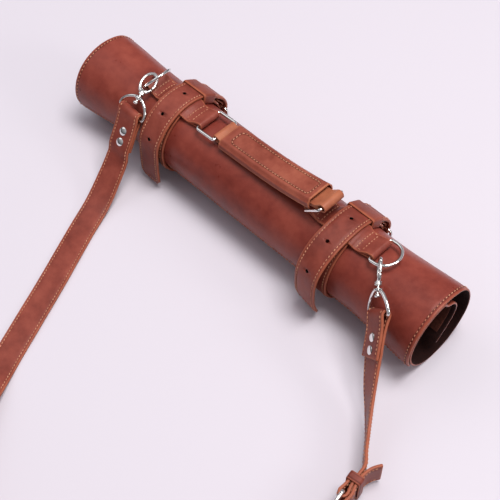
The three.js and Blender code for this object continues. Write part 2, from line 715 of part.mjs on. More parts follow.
const LEFT_ALONG = v(0.15, -0.617, -0.779).normalize();
const RIGHT_ALONG = v(0.43, -0.66, -0.61).normalize();
const ENDS = {
  left: strapEnd(CLASPS.left.bar, CLASPS.left.across.clone().normalize(), LEFT_ALONG, -1),
  right: strapEnd(CLASPS.right.bar, CLASPS.right.across.clone().normalize(), RIGHT_ALONG, 1),
};

// The long strap lies flat in front of the case, then turns on edge and comes round to the buckle.
const FLAT = STRAP / 2 + 0.6;
const EDGE = STRAP_WIDTH / 2 + 0.6;
const BUCKLE_Z = 17.6;             // the adjusting buckle stands on the long side of its frame
const LONG_ROUTE = [
  [-131, -66, 33.8], [-126, -85, 17], [-119, -106, 6], [-108, -135, FLAT], [-95, -163, FLAT],
  [-80, -195, FLAT], [-60, -240, FLAT], [-40, -284, FLAT], [-18, -320, 4], [8, -357, 10],
  [38, -386, EDGE], [72, -399, EDGE], [108, -391, EDGE], [142, -362, EDGE], [174, -322, EDGE],
  [208, -285, EDGE], [240, -252, EDGE + 1], [260, -226, EDGE + 3],
];
const FLAT_UNTIL = 7;
const TWIST_END = 10;

// The short strap hangs from the right clasp down to the adjusting buckle.
const SHORT_ROUTE = [
  [210, -80, 32], [222, -94, 23.5], [236, -111, 18], [247, -126, BUCKLE_Z],
];

// The adjusting buckle: its heel bar stands upright at `heel`; `away` points to the long strap.
const HEEL = v(258.5, -167, BUCKLE_Z);
const AWAY = v(0.15, -0.99, 0).normalize();
const UP = v(0, 0, 1);
const FRAME_REACH = 24;
const OUT = AWAY.clone().cross(UP).multiplyScalar(-1);

function atBuckle(away, out, up = 0) {
  return HEEL.clone().addScaledVector(AWAY, away).addScaledVector(OUT, out).add(v(0, 0, up));
}

function longStrap() {
  const first = DOUBLED_END.map(([away, off]) => ENDS.left(away, off));
  const across = CLASPS.left.across.clone().normalize();
  const points = [...first];
  const sides = first.map(() => across);
  LONG_ROUTE.forEach(([x, y, z], i) => {
    const before = LONG_ROUTE[Math.max(i - 1, 0)];
    const after = LONG_ROUTE[Math.min(i + 1, LONG_ROUTE.length - 1)];
    const heading = v(after[0] - before[0], after[1] - before[1], 0).normalize();
    const level = v(-heading.y, heading.x, 0);
    const settled = across.clone().lerp(level, smooth(i, 0, 3)).normalize();
    const upright = smooth(i, FLAT_UNTIL, TWIST_END) * Math.PI / 2;
    const lowest = EDGE * Math.sin(upright) + FLAT * Math.cos(upright);
    points.push(v(x, y, Math.max(z, lowest)));
    sides.push(settled.multiplyScalar(Math.cos(upright)).add(v(0, 0, Math.sin(upright))));
  });
  const through = [
    [44, -3.6], [FRAME_REACH + 6, -3.4], [FRAME_REACH - 2, -3], [14, 1.2], [6, 5.2], [-2, 6.6],
    [-9, 5.2], [-19, 4.6], [-27, 6], [-33, 9], [-38, 13],
  ];
  through.forEach(([away, out]) => {
    points.push(atBuckle(away, out));
    sides.push(UP);
  });
  return twistedStrip(points, sides, STRAP_WIDTH, STRAP);
}

function shortStrap() {
  const across = CLASPS.right.across.clone().normalize();
  const points = DOUBLED_END.map(([away, off]) => ENDS.right(away, off));
  const sides = points.map(() => across);
  SHORT_ROUTE.forEach(([x, y, z], i) => {
    points.push(v(x, y, z));
    sides.push(across.clone().lerp(UP, smooth(i, -1.5, 2.5)).normalize());
  });
  const round = [
    [-30, LAYER], [-17, LAYER], [-8, 2.2],
    ...FOLD_TURNS.map(([away, out]) => [-away, out]).reverse(),
    [-8, -2.2], [-17, -LAYER],
  ];
  round.forEach(([away, out]) => {
    points.push(atBuckle(away, out));
    sides.push(UP);
  });
  return twistedStrip(points, sides, STRAP_WIDTH, STRAP);
}

function rivet(end, away) {
  const half = STRAP + GAP / 2 + 0.25;
  const at = (side) => end(away, side);
  const head = rod(at(half), at(half + 1), RIVET_HEAD, 14);
  const cap = rod(at(-half - 1), at(-half), RIVET_HEAD, 14);
  return unite(rod(at(-half - 0.2), at(half + 0.2), 1.3, 10), head, cap);
}

function rivetHoles(end) {
  return RIVETS.map((away) => rod(end(away, -5), end(away, 5), 1.7, 10));
}

function adjustingFrame() {
  const outline = roundedRectangle(2 * 15.9, FRAME_REACH, 2, FRAME_REACH / 2);
  return placed(wireRing(outline, WIRE, 2), HEEL, UP, AWAY);
}

const ADJUSTING_PRONG = [[1.9, 0.6], [3.3, 4], [3.6, 14], [WIRE + PRONG + 0.15, FRAME_REACH + 1.5]];

function adjustingProng() {
  const line = ADJUSTING_PRONG.map(([out, away]) => atBuckle(away, out));
  const eye = rod(atBuckle(0, 0, -1.7), atBuckle(0, 0, 1.7), EYE, 14);
  const bore = rod(atBuckle(0, 0, -3), atBuckle(0, 0, 3), WIRE + 0.25, 12);
  return subtract(unite(wire(line, PRONG, 8, 8), eye), bore);
}

function adjustingKeeper() {
  const bottom = -LAYER - STRAP / 2 - 0.9;
  const roof = 5.1 + STRAP / 2 + 0.4;
  const half = STRAP_WIDTH / 2 + 0.5;
  const ring = roundedRectangle(2 * (half + 1.4), roof - bottom + 2.8, 2, (roof + bottom) / 2);
  ring.holes.push(roundedRectangle(2 * half, roof - bottom, 0.8, (roof + bottom) / 2));
  const block = new THREE.ExtrudeGeometry(ring, { depth: 8, bevelEnabled: false, curveSegments: 2 });
  return remap(block, (a, b, c) => atBuckle(-11 - c, b, a));
}

const strapPunch = rod(atBuckle(-27, 3), atBuckle(-27, 10), HOLE_RADIUS, 10);
const prongHole = rod(atBuckle(4, 3.3), atBuckle(16, 3.6), PRONG + 0.6, 10);

const eyeSlot = placed(new THREE.BoxGeometry(4.6, 9, 9), atBuckle(0.2, 0), UP, AWAY);

addMesh('strap_long', subtract(longStrap(), ...rivetHoles(ENDS.left), strapPunch, prongHole), LEATHER);
addMesh('strap_short', subtract(shortStrap(), ...rivetHoles(ENDS.right), eyeSlot), LEATHER);
['left', 'right'].forEach((side) => {
  RIVETS.forEach((away, i) => addMesh(`strap_rivet_${side}_${i + 1}`, rivet(ENDS[side], away), NICKEL, true));
});
addMesh('strap_buckle_frame', adjustingFrame(), NICKEL, true);
addMesh('strap_buckle_prong', adjustingProng(), NICKEL, true);
addMesh('strap_keeper', adjustingKeeper(), LEATHER);

export default group;
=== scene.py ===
import math

import bmesh
import bpy
import numpy as np
from mathutils import Matrix, Vector, noise


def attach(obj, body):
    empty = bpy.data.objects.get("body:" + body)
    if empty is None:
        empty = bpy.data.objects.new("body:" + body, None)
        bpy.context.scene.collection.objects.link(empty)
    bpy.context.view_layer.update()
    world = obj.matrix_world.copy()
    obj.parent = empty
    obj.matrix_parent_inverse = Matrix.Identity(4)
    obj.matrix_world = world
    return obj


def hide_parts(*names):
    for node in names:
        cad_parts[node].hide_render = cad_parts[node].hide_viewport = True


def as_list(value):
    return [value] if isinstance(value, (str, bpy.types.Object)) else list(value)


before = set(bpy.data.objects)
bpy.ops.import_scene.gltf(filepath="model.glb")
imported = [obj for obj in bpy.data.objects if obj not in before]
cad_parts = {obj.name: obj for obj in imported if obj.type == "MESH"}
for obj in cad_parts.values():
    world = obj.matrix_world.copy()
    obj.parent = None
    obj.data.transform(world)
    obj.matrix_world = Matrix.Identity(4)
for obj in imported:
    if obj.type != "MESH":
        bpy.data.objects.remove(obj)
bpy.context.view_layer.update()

# Lengths are in millimetres, as in the part's source, until a mesh is made.
MM = 0.001
SHIFT = np.array([0.0, 3.53, 0.0])

# ---------------------------------------------------------------- dimensions of the part
ROLL_LENGTH = 440
ROLL_RADIUS = 37.5
AXIS_Z = 40.8
SHEET = 2.4
TURN_GAP = 0.8
LINING = 1.2
GAP = 0.3
BELT_X = 107
BELT_WIDTH = 27
BELT = 2.6
HOLE_RADIUS = 1.7
HOLE_ANGLES = (-6, 31, 66)
WIRE = 1.5
TAB_WIDTH = 28
TAB = 2
STRAP_WIDTH = 26
STRAP = 2.6
PRONG = 1.1
EYE = 2.9                # outside of the eye that a prong turns on

STITCH_PITCH = 3.4
STITCH_LENGTH = 2.2
STITCH_RADIUS = 0.5
RIM = 0.8                # rounding of a cut leather edge


def vec(*values):
    return np.array(values, float)


def unit(vector):
    vector = np.asarray(vector, float)
    return vector / np.linalg.norm(vector)


def smooth(value, low, high):
    share = np.clip((np.asarray(value, float) - low) / (high - low), 0, 1)
    return share * share * (3 - 2 * share)


def around(angle, radius, x=0.0):
    """A point around the roll: the angle is in degrees from the top toward the front."""
    turn = math.radians(angle)
    return vec(x, -radius * math.sin(turn), AXIS_Z + radius * math.cos(turn))


# ---------------------------------------------------------------- camera
CAMERA_AT = Vector((0.4581, -0.4627, 0.8355))
CAMERA_AZIMUTH = math.radians(45.37)
CAMERA_ELEVATION = math.radians(53.8)
CAMERA_ROLL = math.radians(-0.3)
FIELD_OF_VIEW = math.radians(25.94)
FAR_CLIP = 50


def make_camera():
    data = bpy.data.cameras.new("camera")
    data.angle = FIELD_OF_VIEW
    data.clip_end = FAR_CLIP
    camera = bpy.data.objects.new("camera", data)
    bpy.context.scene.collection.objects.link(camera)
    level = math.cos(CAMERA_ELEVATION)
    back = Vector((
        math.sin(CAMERA_AZIMUTH) * level,
        -math.cos(CAMERA_AZIMUTH) * level,
        math.sin(CAMERA_ELEVATION),
    ))
    right = Vector((0, 0, 1)).cross(back).normalized()
    up = back.cross(right)
    turned = Matrix((right, up, back)).transposed() @ Matrix.Rotation(CAMERA_ROLL, 3, "Z")
    camera.matrix_world = Matrix.Translation(CAMERA_AT) @ turned.to_4x4()
    bpy.context.scene.camera = camera


make_camera()


# ---------------------------------------------------------------- materials
def node(tree, kind, **values):
    made = tree.nodes.new(kind)
    for name, value in values.items():
        if hasattr(made, name):
            setattr(made, name, value)
        else:
            made.inputs[name.replace("_", " ")].default_value = value
    return made


def new_material(name):
    material = bpy.data.materials.new(name)
    material.use_nodes = True
    tree = material.node_tree
    return material, tree, tree.nodes["Principled BSDF"]


def rgb(code):
    """A colour as it is written, such as 7d3d32, in the linear values that a shader takes."""
    shares = [int(code[i:i + 2], 16) / 255 for i in (0, 2, 4)]
    linear = [s / 12.92 if s <= 0.04045 else ((s + 0.055) / 1.055) ** 2.4 for s in shares]
    return (*linear, 1.0)


def bump_from(tree, height, strength, distance, below=None):
    bump = node(tree, "ShaderNodeBump", Strength=strength, Distance=distance)
    tree.links.new(height, bump.inputs["Height"])
    if below is not None:
        tree.links.new(below, bump.inputs["Normal"])
    return bump.outputs["Normal"]


def texture(tree, kind, output, **settings):
    """A procedural texture in the piece's own coordinates."""
    place = node(tree, "ShaderNodeTexCoord").outputs["Object"]
    made = node(tree, kind, **settings)
    tree.links.new(place, made.inputs["Vector"])
    return made.outputs[output]


def noise_texture(tree, **settings):
    return texture(tree, "ShaderNodeTexNoise", "Fac", **settings)


def maths(tree, operation, *values, clamp=False):
    """A sum on sockets and plain numbers."""
    made = node(tree, "ShaderNodeMath", operation=operation, use_clamp=clamp)
    for socket, value in zip(made.inputs, values):
        if isinstance(value, float):
            socket.default_value = value
        else:
            tree.links.new(value, socket)
    return made.outputs[0]


def stretched(tree, value, start, end, low, high):
    """A value taken from the range start to end into the range low to high."""
    made = node(tree, "ShaderNodeMapRange", From_Min=start, From_Max=end, To_Min=low, To_Max=high)
    tree.links.new(value, made.inputs["Value"])
    return made.outputs["Result"]


def colour_ramp(tree, value, *stops):
    """The colours of (position, code) stops, blended by a value."""
    made = node(tree, "ShaderNodeValToRGB")
    elements = made.color_ramp.elements
    for element, (position, code) in zip(list(elements), (stops[0], stops[-1])):
        element.position = position
        element.color = rgb(code)
    for position, code in stops[1:-1]:
        elements.new(position).color = rgb(code)
    tree.links.new(value, made.inputs["Fac"])
    return made.outputs["Color"]


def mix_colour(tree, share, under, over):
    """The colour `under` with the plain colour `over` mixed in by a share."""
    mixed = node(tree, "ShaderNodeMix", data_type="RGBA")
    tree.links.new(share, mixed.inputs[0])
    sockets = {socket.name: socket for socket in mixed.inputs if socket.type == "RGBA"}
    tree.links.new(under, sockets["A"])
    sockets["B"].default_value = rgb(over)
    return [socket for socket in mixed.outputs if socket.type == "RGBA"][0]


# Near-black mixed into the stitch grooves: painted shade in the grooves.
GROOVE_SHADE_COLOUR = "240c09"
HIGHLIGHT_TINT = "f0d3cc"


def leather(name, dark, middle, light, burnished, sheen, depth=1.0):
    """Waxed leather: clouded colour, fine grain, soft creases and burnished cut edges."""
    material, tree, shader = new_material(name)
    link = tree.links.new
    clouds = noise_texture(tree, Scale=14.0, Detail=5.0, Roughness=0.55)
    blotches = noise_texture(tree, Scale=70.0, Detail=6.0, Roughness=0.6)
    creases = noise_texture(tree, Scale=260.0, Detail=4.0, Roughness=0.65)
    pores = noise_texture(tree, Scale=1900.0, Detail=2.0)
    grain = texture(tree, "ShaderNodeTexVoronoi", "Distance", Scale=820.0,
                    feature="DISTANCE_TO_EDGE")
    shade = maths(tree, "MULTIPLY_ADD", blotches, 0.45, maths(tree, "MULTIPLY", clouds, 0.55))
    colour = colour_ramp(tree, shade, (0.36, dark), (0.5, middle), (0.66, light))
    # The attribute is above 0 at cut edges, for their burnished wear, and below 0 in stitch grooves,
    # where a near-black colour is mixed in as painted shade.
    edge = node(tree, "ShaderNodeAttribute", attribute_name="edge").outputs["Fac"]
    patches = stretched(tree, blotches, 0.3, 0.6, 0.55, 1.0)
    worn = maths(tree, "MULTIPLY", edge, patches, clamp=True)
    # Painted shade: darkens the leather where the attribute is below 0, in the stitch grooves.
    groove_shade = maths(tree, "MULTIPLY", edge, -1.0, clamp=True)
    colour = mix_colour(tree, worn, colour, burnished)
    link(mix_colour(tree, groove_shade, colour, GROOVE_SHADE_COLOUR), shader.inputs["Base Color"])
    gloss = stretched(tree, blotches, 0.3, 0.7, sheen - 0.06, sheen + 0.14)
    link(gloss, shader.inputs["Roughness"])
    shader.inputs["Specular IOR Level"].default_value = 0.34
    shader.inputs["Specular Tint"].default_value = rgb(HIGHLIGHT_TINT)
    normal = bump_from(tree, creases, 0.35 * depth, 0.0006)
    normal = bump_from(tree, grain, 0.3 * depth, 0.0003, normal)
    normal = bump_from(tree, pores, 0.15 * depth, 0.0002, normal)
    link(normal, shader.inputs["Normal"])
    return material


def suede(name, dark, light):
    """A matt napped surface, for the flesh side, felt and the near-black painted shade in punched
    holes.
    """
    material, tree, shader = new_material(name)
    nap = noise_texture(tree, Scale=420.0, Detail=8.0, Roughness=0.7)
    colour = colour_ramp(tree, nap, (0.3, dark), (0.7, light))
    tree.links.new(colour, shader.inputs["Base Color"])
    shader.inputs["Roughness"].default_value = 0.9
    shader.inputs["Specular IOR Level"].default_value = 0.2
    tree.links.new(bump_from(tree, nap, 0.6, 0.0006), shader.inputs["Normal"])
    return material


def thread(name, dark, light):
    """Waxed thread with the unevenness of its twist."""
    material, tree, shader = new_material(name)
    tint = noise_texture(tree, Scale=160.0, Detail=3.0)
    twist = noise_texture(tree, Scale=2600.0, Detail=2.0)
    colour = colour_ramp(tree, tint, (0.35, dark), (0.65, light))
    tree.links.new(colour, shader.inputs["Base Color"])
    shader.inputs["Roughness"].default_value = 0.55
    tree.links.new(bump_from(tree, twist, 0.5, 0.0002), shader.inputs["Normal"])
    return material


def plated(name):
    """Polished nickel plate with faint scratches and handling marks."""
    material, tree, shader = new_material(name)
    smudges = noise_texture(tree, Scale=190.0, Detail=5.0, Roughness=0.6)
    scratches = noise_texture(tree, Scale=1500.0, Detail=3.0)
    colour = colour_ramp(tree, smudges, (0, "d2d0cc"), (1, "f4f3f0"))
    tree.links.new(colour, shader.inputs["Base Color"])
    gloss = stretched(tree, smudges, 0.3, 0.7, 0.04, 0.13)
    tree.links.new(gloss, shader.inputs["Roughness"])
    shader.inputs["Metallic"].default_value = 1.0
    tree.links.new(bump_from(tree, scratches, 0.01, 0.00005), shader.inputs["Normal"])
    return material


SHELL = leather("shell_leather", "6a2b24", "7e372d", "8f4437", "99503a", 0.32, 0.6)
BELTS = leather("belt_leather", "652b23", "7d392e", "92493b", "9f573e", 0.4)
HANDLE = leather("handle_leather", "743428", "8a4536", "a05945", "ad6849", 0.4)
# The flesh side: its own dark brown, darkened further as painted shade for the inside of the roll.
FLESH_AND_SHADE = suede("flesh_side_and_shade", "180908", "2f130f")
LINER = suede("lining_leather", "391a15", "603326")
FELT = suede("felt", "4a4038", "6b5f54")
# Near-black walls for punched holes and slots: painted shade inside them.
HOLE_SHADE = suede("painted_hole_shade", "070403", "120806")
THREAD = thread("thread", "a05e43", "cd9272")
METAL = plated("nickel")


# ---------------------------------------------------------------- meshes
def six_volumes(points, faces):
    total = 0.0
    for face in faces:
        first = points[face[0]]
        for i in range(1, len(face) - 1):
            total += np.dot(first, np.cross(points[face[i]], points[face[i + 1]]))
    return total


def new_piece(name, shells, body, materials, sharp=38):
    """One object from closed shells: (points, faces, edge wear and painted groove shade or None, face
    slots or None).
    """
    points, faces, wear, slots = [], [], [], []
    for shell_points, shell_faces, shell_wear, shell_slots in shells:
        start = len(points)
        flip = six_volumes(shell_points, shell_faces) < 0
        points.extend(shell_points)
        for face in shell_faces:
            moved = [start + i for i in face]
            faces.append(moved[::-1] if flip else moved)
        wear.extend([0.0] * len(shell_points) if shell_wear is None else shell_wear)
        slots.extend([0] * len(shell_faces) if shell_slots is None else shell_slots)
    mesh = bpy.data.meshes.new(name)
    mesh.from_pydata(((np.array(points) + SHIFT) * MM).tolist(), [], faces)
    for material in materials:
        mesh.materials.append(material)
    mesh.polygons.foreach_set("material_index", slots)
    mesh.polygons.foreach_set("use_smooth", [True] * len(faces))
    layer = mesh.attributes.new("edge", "FLOAT", "POINT")
    layer.data.foreach_set("value", [float(w) for w in wear])
    mesh.update()
    mesh.set_sharp_from_angle(angle=math.radians(sharp))
    piece = bpy.data.objects.new(name, mesh)
    bpy.context.scene.collection.objects.link(piece)
    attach(piece, body)
    return piece


def loft(rings, closed=False):
    """Faces between rings of points. An open loft gets a flat face at each end."""
    count, sides = rings.shape[:2]
    faces = []
    for i in range(count if closed else count - 1):
        here = i * sides
        there = (i + 1) % count * sides
        for j in range(sides):
            k = (j + 1) % sides
            faces.append((here + j, here + k, there + k, there + j))
    if not closed:
        faces.append(tuple(range(sides))[::-1])
        faces.append(tuple(range((count - 1) * sides, count * sides)))
    return rings.reshape(-1, 3), faces


def spline(points, per_span):
    """A centripetal Catmull-Rom line through the points."""
    points = np.asarray(points, float)
    framed = np.vstack([2 * points[0] - points[1], points, 2 * points[-1] - points[-2]])
    made = []
    for i in range(1, len(framed) - 2):
        p0, p1, p2, p3 = framed[i - 1:i + 3]
        gap = [float(np.linalg.norm(b - a)) ** 0.5 for a, b in ((p0, p1), (p1, p2), (p2, p3))]
        gap[1] = gap[1] if gap[1] > 1e-4 else 1.0
        t1 = gap[0] if gap[0] > 1e-4 else gap[1]
        t2 = t1 + gap[1]
        t3 = t2 + (gap[2] if gap[2] > 1e-4 else gap[1])
        for step in range(per_span):
            t = t1 + (t2 - t1) * step / per_span
            a1 = (t1 - t) / t1 * p0 + t / t1 * p1
            a2 = (t2 - t) / (t2 - t1) * p1 + (t - t1) / (t2 - t1) * p2
            a3 = (t3 - t) / (t3 - t2) * p2 + (t - t2) / (t3 - t2) * p3
            b1 = (t2 - t) / t2 * a1 + t / t2 * a2
            b2 = (t3 - t) / (t3 - t1) * a2 + (t - t1) / (t3 - t1) * a3
            made.append((t2 - t) / (t2 - t1) * b1 + (t - t1) / (t2 - t1) * b2)
    made.append(points[-1])
    return np.array(made)


class Run:
    """A line with a width direction at every point, read by distance along it."""

    def __init__(self, points, sides, per_span=12):
        self.points = spline(points, per_span)
        width = spline(sides, per_span)
        steps = np.linalg.norm(np.diff(self.points, axis=0), axis=1)
        self.distance = np.concatenate([[0], np.cumsum(steps)])
        self.length = self.distance[-1]
        self.knot = np.linspace(0, len(points) - 1, len(self.points))
        tangent = np.gradient(self.points, self.distance, axis=0)
        tangent /= np.linalg.norm(tangent, axis=1)[:, None]
        width -= (width * tangent).sum(1)[:, None] * tangent
        width /= np.linalg.norm(width, axis=1)[:, None]
        self.tangent = tangent
        self.width = width

    def read(self, table, distance):
        return np.array([np.interp(distance, self.distance, table[:, i]) for i in range(3)])

    def at(self, distance):
        """Position, direction, width direction and outward direction there."""
        tangent = unit(self.read(self.tangent, distance))
        width = unit(self.read(self.width, distance))
        return self.read(self.points, distance), tangent, width, np.cross(tangent, width)

    def knot_at(self, distance):
        return float(np.interp(distance, self.distance, self.knot))


def strap_profile(width, thickness, inset):
    """Cross-section of a strap: across, up and wear. Its rims are round and it has stitch grooves; a
    wear below 0 in a groove is painted shade, not wear.
    """
    half = width / 2
    top = thickness / 2
    rim = min(RIM, 0.42 * thickness)
    # The -0.8 at the stitch line paints shade into the groove.
    marks = [(rim, 0, 0.5), (inset - 0.8, 0, 0.1), (inset, -0.3, -0.8), (inset + 0.8, 0, 0)]
    right = [(half - depth, top + dip, wear) for depth, dip, wear in marks]
    middle = [(0.5 * half, top + 0.05, 0), (0, top + 0.1, 0), (-0.5 * half, top + 0.05, 0)]
    left = [(-across, up, wear) for across, up, wear in right]
    upper = left + middle[::-1] + right[::-1]
    corner = []
    for turn in (30, 60, 90):
        reach = rim * math.sin(math.radians(turn))
        drop = rim * (1 - math.cos(math.radians(turn)))
        corner.append((half - rim + reach, top - drop, 1.0))
    side = corner + [(across, -up, wear) for across, up, wear in corner[::-1]]
    lower = [(across, -up, wear) for across, up, wear in upper[::-1]]
    other = [(-across, up, wear) for across, up, wear in side[::-1]]
    return upper + side + lower + other


def strap_shell(run, width, thickness, inset=3.0, step=2.2):
    """A leather strip along a run. Width and thickness are functions of the knot's number."""
    cluster = [0, 0.1, 0.3, 0.8]
    inner = np.arange(2, run.length - 2, step)
    stations = [*cluster, *inner, *[run.length - d for d in cluster[::-1]]]
    rings, wear = [], []
    for distance in stations:
        place, _, across, out = run.at(distance)
        knot = run.knot_at(distance)
        to_end = min(distance, run.length - distance)
        shrink = RIM * (1 - math.sqrt(max(0, 1 - max(0, 1 - to_end / RIM) ** 2)))
        wide = max(width(knot) - 2 * shrink, 1)
        thick = max(thickness(knot) - 1.6 * shrink, 0.5)
        profile = strap_profile(wide, thick, inset)
        rings.append([place + a * across + b * out for a, b, _ in profile])
        rim_wear = float(1 - smooth(to_end, 0.3, 2))
        wear.extend([max(w, rim_wear) for _, _, w in profile])
    points, faces = loft(np.array(rings))
    return points, faces, wear, None


def always(value):
    """The same width or thickness at every knot."""
    return lambda knot: value


# ---------------------------------------------------------------- stitches
def stitch_template():
    rings = []
    for share, swell in ((-1, 0.25), (-0.8, 0.75), (-0.4, 1), (0.4, 1), (0.8, 0.75), (1, 0.25)):
        lift = 0.25 * STITCH_RADIUS * (1 - share ** 2)
        rings.append([
            (share * STITCH_LENGTH / 2,
             swell * STITCH_RADIUS * math.cos(turn),
             swell * STITCH_RADIUS * math.sin(turn) + lift)
            for turn in np.linspace(0, 2 * math.pi, 6, endpoint=False)
        ])
    return loft(np.array(rings))


STITCH_POINTS, STITCH_FACES = stitch_template()


def one_stitch(place, along, out, slant=0.14):
    """A short thread that dips into the leather at both ends."""
    side = unit(np.cross(out, along))
    along = unit(along + slant * side)
    side = np.cross(out, along)
    points = (place + STITCH_POINTS[:, :1] * along + STITCH_POINTS[:, 1:2] * side
              + STITCH_POINTS[:, 2:] * out)
    return points, STITCH_FACES, None, None


def run_stitches(run, offset, height, start, end, faces=(1,), skip=()):
    """Stitches beside a run's middle line, on its outer face and, with -1, on its inner one."""
    shells = []
    count = int((end - start) / STITCH_PITCH)
    for i in range(count):
        distance = start + (i + 0.5) * (end - start) / count
        if any(low <= distance <= high for low, high in skip):
            continue
        place, tangent, across, out = run.at(distance)
        for face in faces:
            shells.append(one_stitch(place + offset * across + face * height * out,
                                     tangent, face * out))
    return shells


def line_stitches(corners, outward, closed=False):
    """Stitches along straight rows. `outward` gives the surface point and its direction."""
    shells = []
    ends = list(corners) + ([corners[0]] if closed else [])
    for start, end in zip(ends[:-1], ends[1:]):
        start, end = np.asarray(start, float), np.asarray(end, float)
        count = max(1, round(np.linalg.norm(end - start) / STITCH_PITCH))
        for i in range(count):
            here = start + (end - start) * (i + 0.5) / count
            ahead = here + (end - start) / count * 0.2
            place, out = outward(*here)
            along = unit(outward(*ahead)[0] - place)
            shells.append(one_stitch(place, along, out))
    return shells


def stitching(name, shells, body):
    piece = new_piece(name, shells, body, [THREAD], sharp=80)
    return piece


# ---------------------------------------------------------------- metal shapes
def wire_shell(points, radius, across, closed=False, sides=14):
    """Round wire along a line. `across` is never along the line; radius may be one per point."""
    points = np.asarray(points, float)
    radii = np.broadcast_to(radius, (len(points),)).astype(float)
    if not closed:
        ahead = unit(points[1] - points[0])
        behind = unit(points[-1] - points[-2])
        first, last = radii[0], radii[-1]
        start = [points[0] - ahead * first * d for d in (0.5, 0.4, 0.2)]
        stop = [points[-1] + behind * last * d for d in (0.2, 0.4, 0.5)]
        points = np.vstack([start, points, stop])
        radii = np.concatenate([[first * s for s in (0.3, 0.7, 0.92)], radii,
                                [last * s for s in (0.92, 0.7, 0.3)]])
    if closed:
        tangent = np.roll(points, -1, 0) - np.roll(points, 1, 0)
    else:
        tangent = np.gradient(points, axis=0)
    rings = []
    for place, direction, size in zip(points, tangent, radii):
        side = unit(np.cross(direction, across))
        up = unit(np.cross(side, direction))
        turns = np.linspace(0, 2 * math.pi, sides, endpoint=False)
        rings.append([place + size * (math.cos(t) * side + math.sin(t) * up) for t in turns])
    made, faces = loft(np.array(rings), closed)
    return made, faces, None, None


def spokes(axis, sides):
    """Directions spread evenly around an axis. Any direction off the axis can start them."""
    side = unit(np.cross(axis, vec(0.31, 0.17, 0.93)))
    up = np.cross(axis, side)
    turns = np.linspace(0, 2 * math.pi, sides, endpoint=False)
    return [math.cos(t) * side + math.sin(t) * up for t in turns]


def lathe_shell(profile, origin, axis, sides=28):
    """A turned solid: (distance along the axis, radius) from one end to the other."""
    axis = unit(axis)
    around_axis = spokes(axis, sides)
    rings = [[origin + along * axis + radius * out for out in around_axis]
             for along, radius in profile]
    made, faces = loft(np.array(rings))
    return made, faces, None, None


def tube_shell(inner, outer, half, origin, axis, sides=28):
    """A short tube with rounded rims."""
    axis = unit(axis)
    rim = 0.25 * (outer - inner)
    profile = [(-half, inner + rim), (-half, outer - rim), (-half + rim, outer),
               (half - rim, outer), (half, outer - rim), (half, inner + rim),
               (half - rim, inner), (-half + rim, inner)]
    rings = [[origin + along * axis + radius * out for along, radius in profile]
             for out in spokes(axis, sides)]
    made, faces = loft(np.array(rings), closed=True)
    return made, faces, None, None


def prong_shells(line, across, heel):
    """A buckle's tongue along a line, and the eye by which it turns on the bar."""
    return [wire_shell(spline(line, 8), PRONG, across),
            tube_shell(WIRE + 0.25, EYE, 1.7, heel, across)]


def rounded_rectangle(width, height, corner, centre_y, steps=8):
    made = []
    for sign_x, sign_y, start in ((1, 1, 0), (-1, 1, 90), (-1, -1, 180), (1, -1, 270)):
        for i in range(steps + 1):
            turn = math.radians(start + 90 * i / steps)
            made.append((sign_x * (width / 2 - corner) + corner * math.cos(turn),
                         centre_y + sign_y * (height / 2 - corner) + corner * math.sin(turn)))
    return made


def placed(points, origin, x_axis, y_axis):
    """Turns flat points so that X and Y run along two directions from an origin."""
    across = unit(x_axis)
    along = unit(np.asarray(y_axis) - np.dot(y_axis, across) * across)
    flat = np.array([(*p, 0)[:3] for p in points], float)
    over = np.cross(across, along)
    turned = origin + flat[:, :1] * across + flat[:, 1:2] * along + flat[:, 2:] * over
    return turned, over


def metal(name, shells, body):
    piece = new_piece(name, shells, body, [METAL], sharp=50)
    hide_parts(name.replace("_metal", ""))
    return piece


def soft_piece(name, stands_for, shells, body, materials):
    """A piece of leather or felt that stands for one node of the CAD model."""
    piece = new_piece(name, shells, body, materials)
    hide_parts(stands_for)
    return piece


# ---------------------------------------------------------------- clasps: where they hang
CLASPS = {
    "left": {
        "swivel": vec(-138, -26.5, 82),
        "bar": vec(-138.5, -37.5, 70),
        "hook_end": vec(-144, 1.5, 91.5),
        "across": vec(0.995, -0.02, -0.1),
        "hook_across": vec(0.97, 0.24, -0.15),
    },
    "right": {
        "swivel": vec(170, -31.2, 80.9),
        "bar": vec(182.1, -42.1, 68),
        "hook_end": vec(152, -8.4, 88.3),
        "across": vec(0.66, -0.1, 0.74),
        "hook_across": vec(0.3, -0.3, 0.9),
    },
}
HOOK_WIRE = 1.6

# ---------------------------------------------------------------- shoulder strap
STRAP_FOLD = HOOK_WIRE + 2 * GAP + STRAP / 2
LAYER = (STRAP + GAP) / 2
RIVETS = (20, 31)
SHORT_END = 38
RIVET_HEAD = 4.1
FOLD_TURNS = [(-STRAP_FOLD * math.cos(math.radians(t)), STRAP_FOLD * math.sin(math.radians(t)))
              for t in (-90, -45, 0, 45, 90)]
DOUBLED_END = [(SHORT_END, -LAYER), (28, -LAYER), (17, -LAYER), (8, -2.3), *FOLD_TURNS,
               (8, 2.3), (17, LAYER), (28, LAYER), (36, LAYER)]


def strap_end(bar, across, along, sign):
    off = unit(np.cross(across, along)) * sign
    return lambda away, side, width=0: bar + along * away + off * side + across * width


LEFT_ALONG = unit((0.15, -0.617, -0.779))
RIGHT_ALONG = unit((0.43, -0.66, -0.61))
LEFT_ACROSS = unit(CLASPS["left"]["across"])
RIGHT_ACROSS = unit(CLASPS["right"]["across"])
ENDS = {
    "left": strap_end(CLASPS["left"]["bar"], LEFT_ACROSS, LEFT_ALONG, -1),
    "right": strap_end(CLASPS["right"]["bar"], RIGHT_ACROSS, RIGHT_ALONG, 1),
}

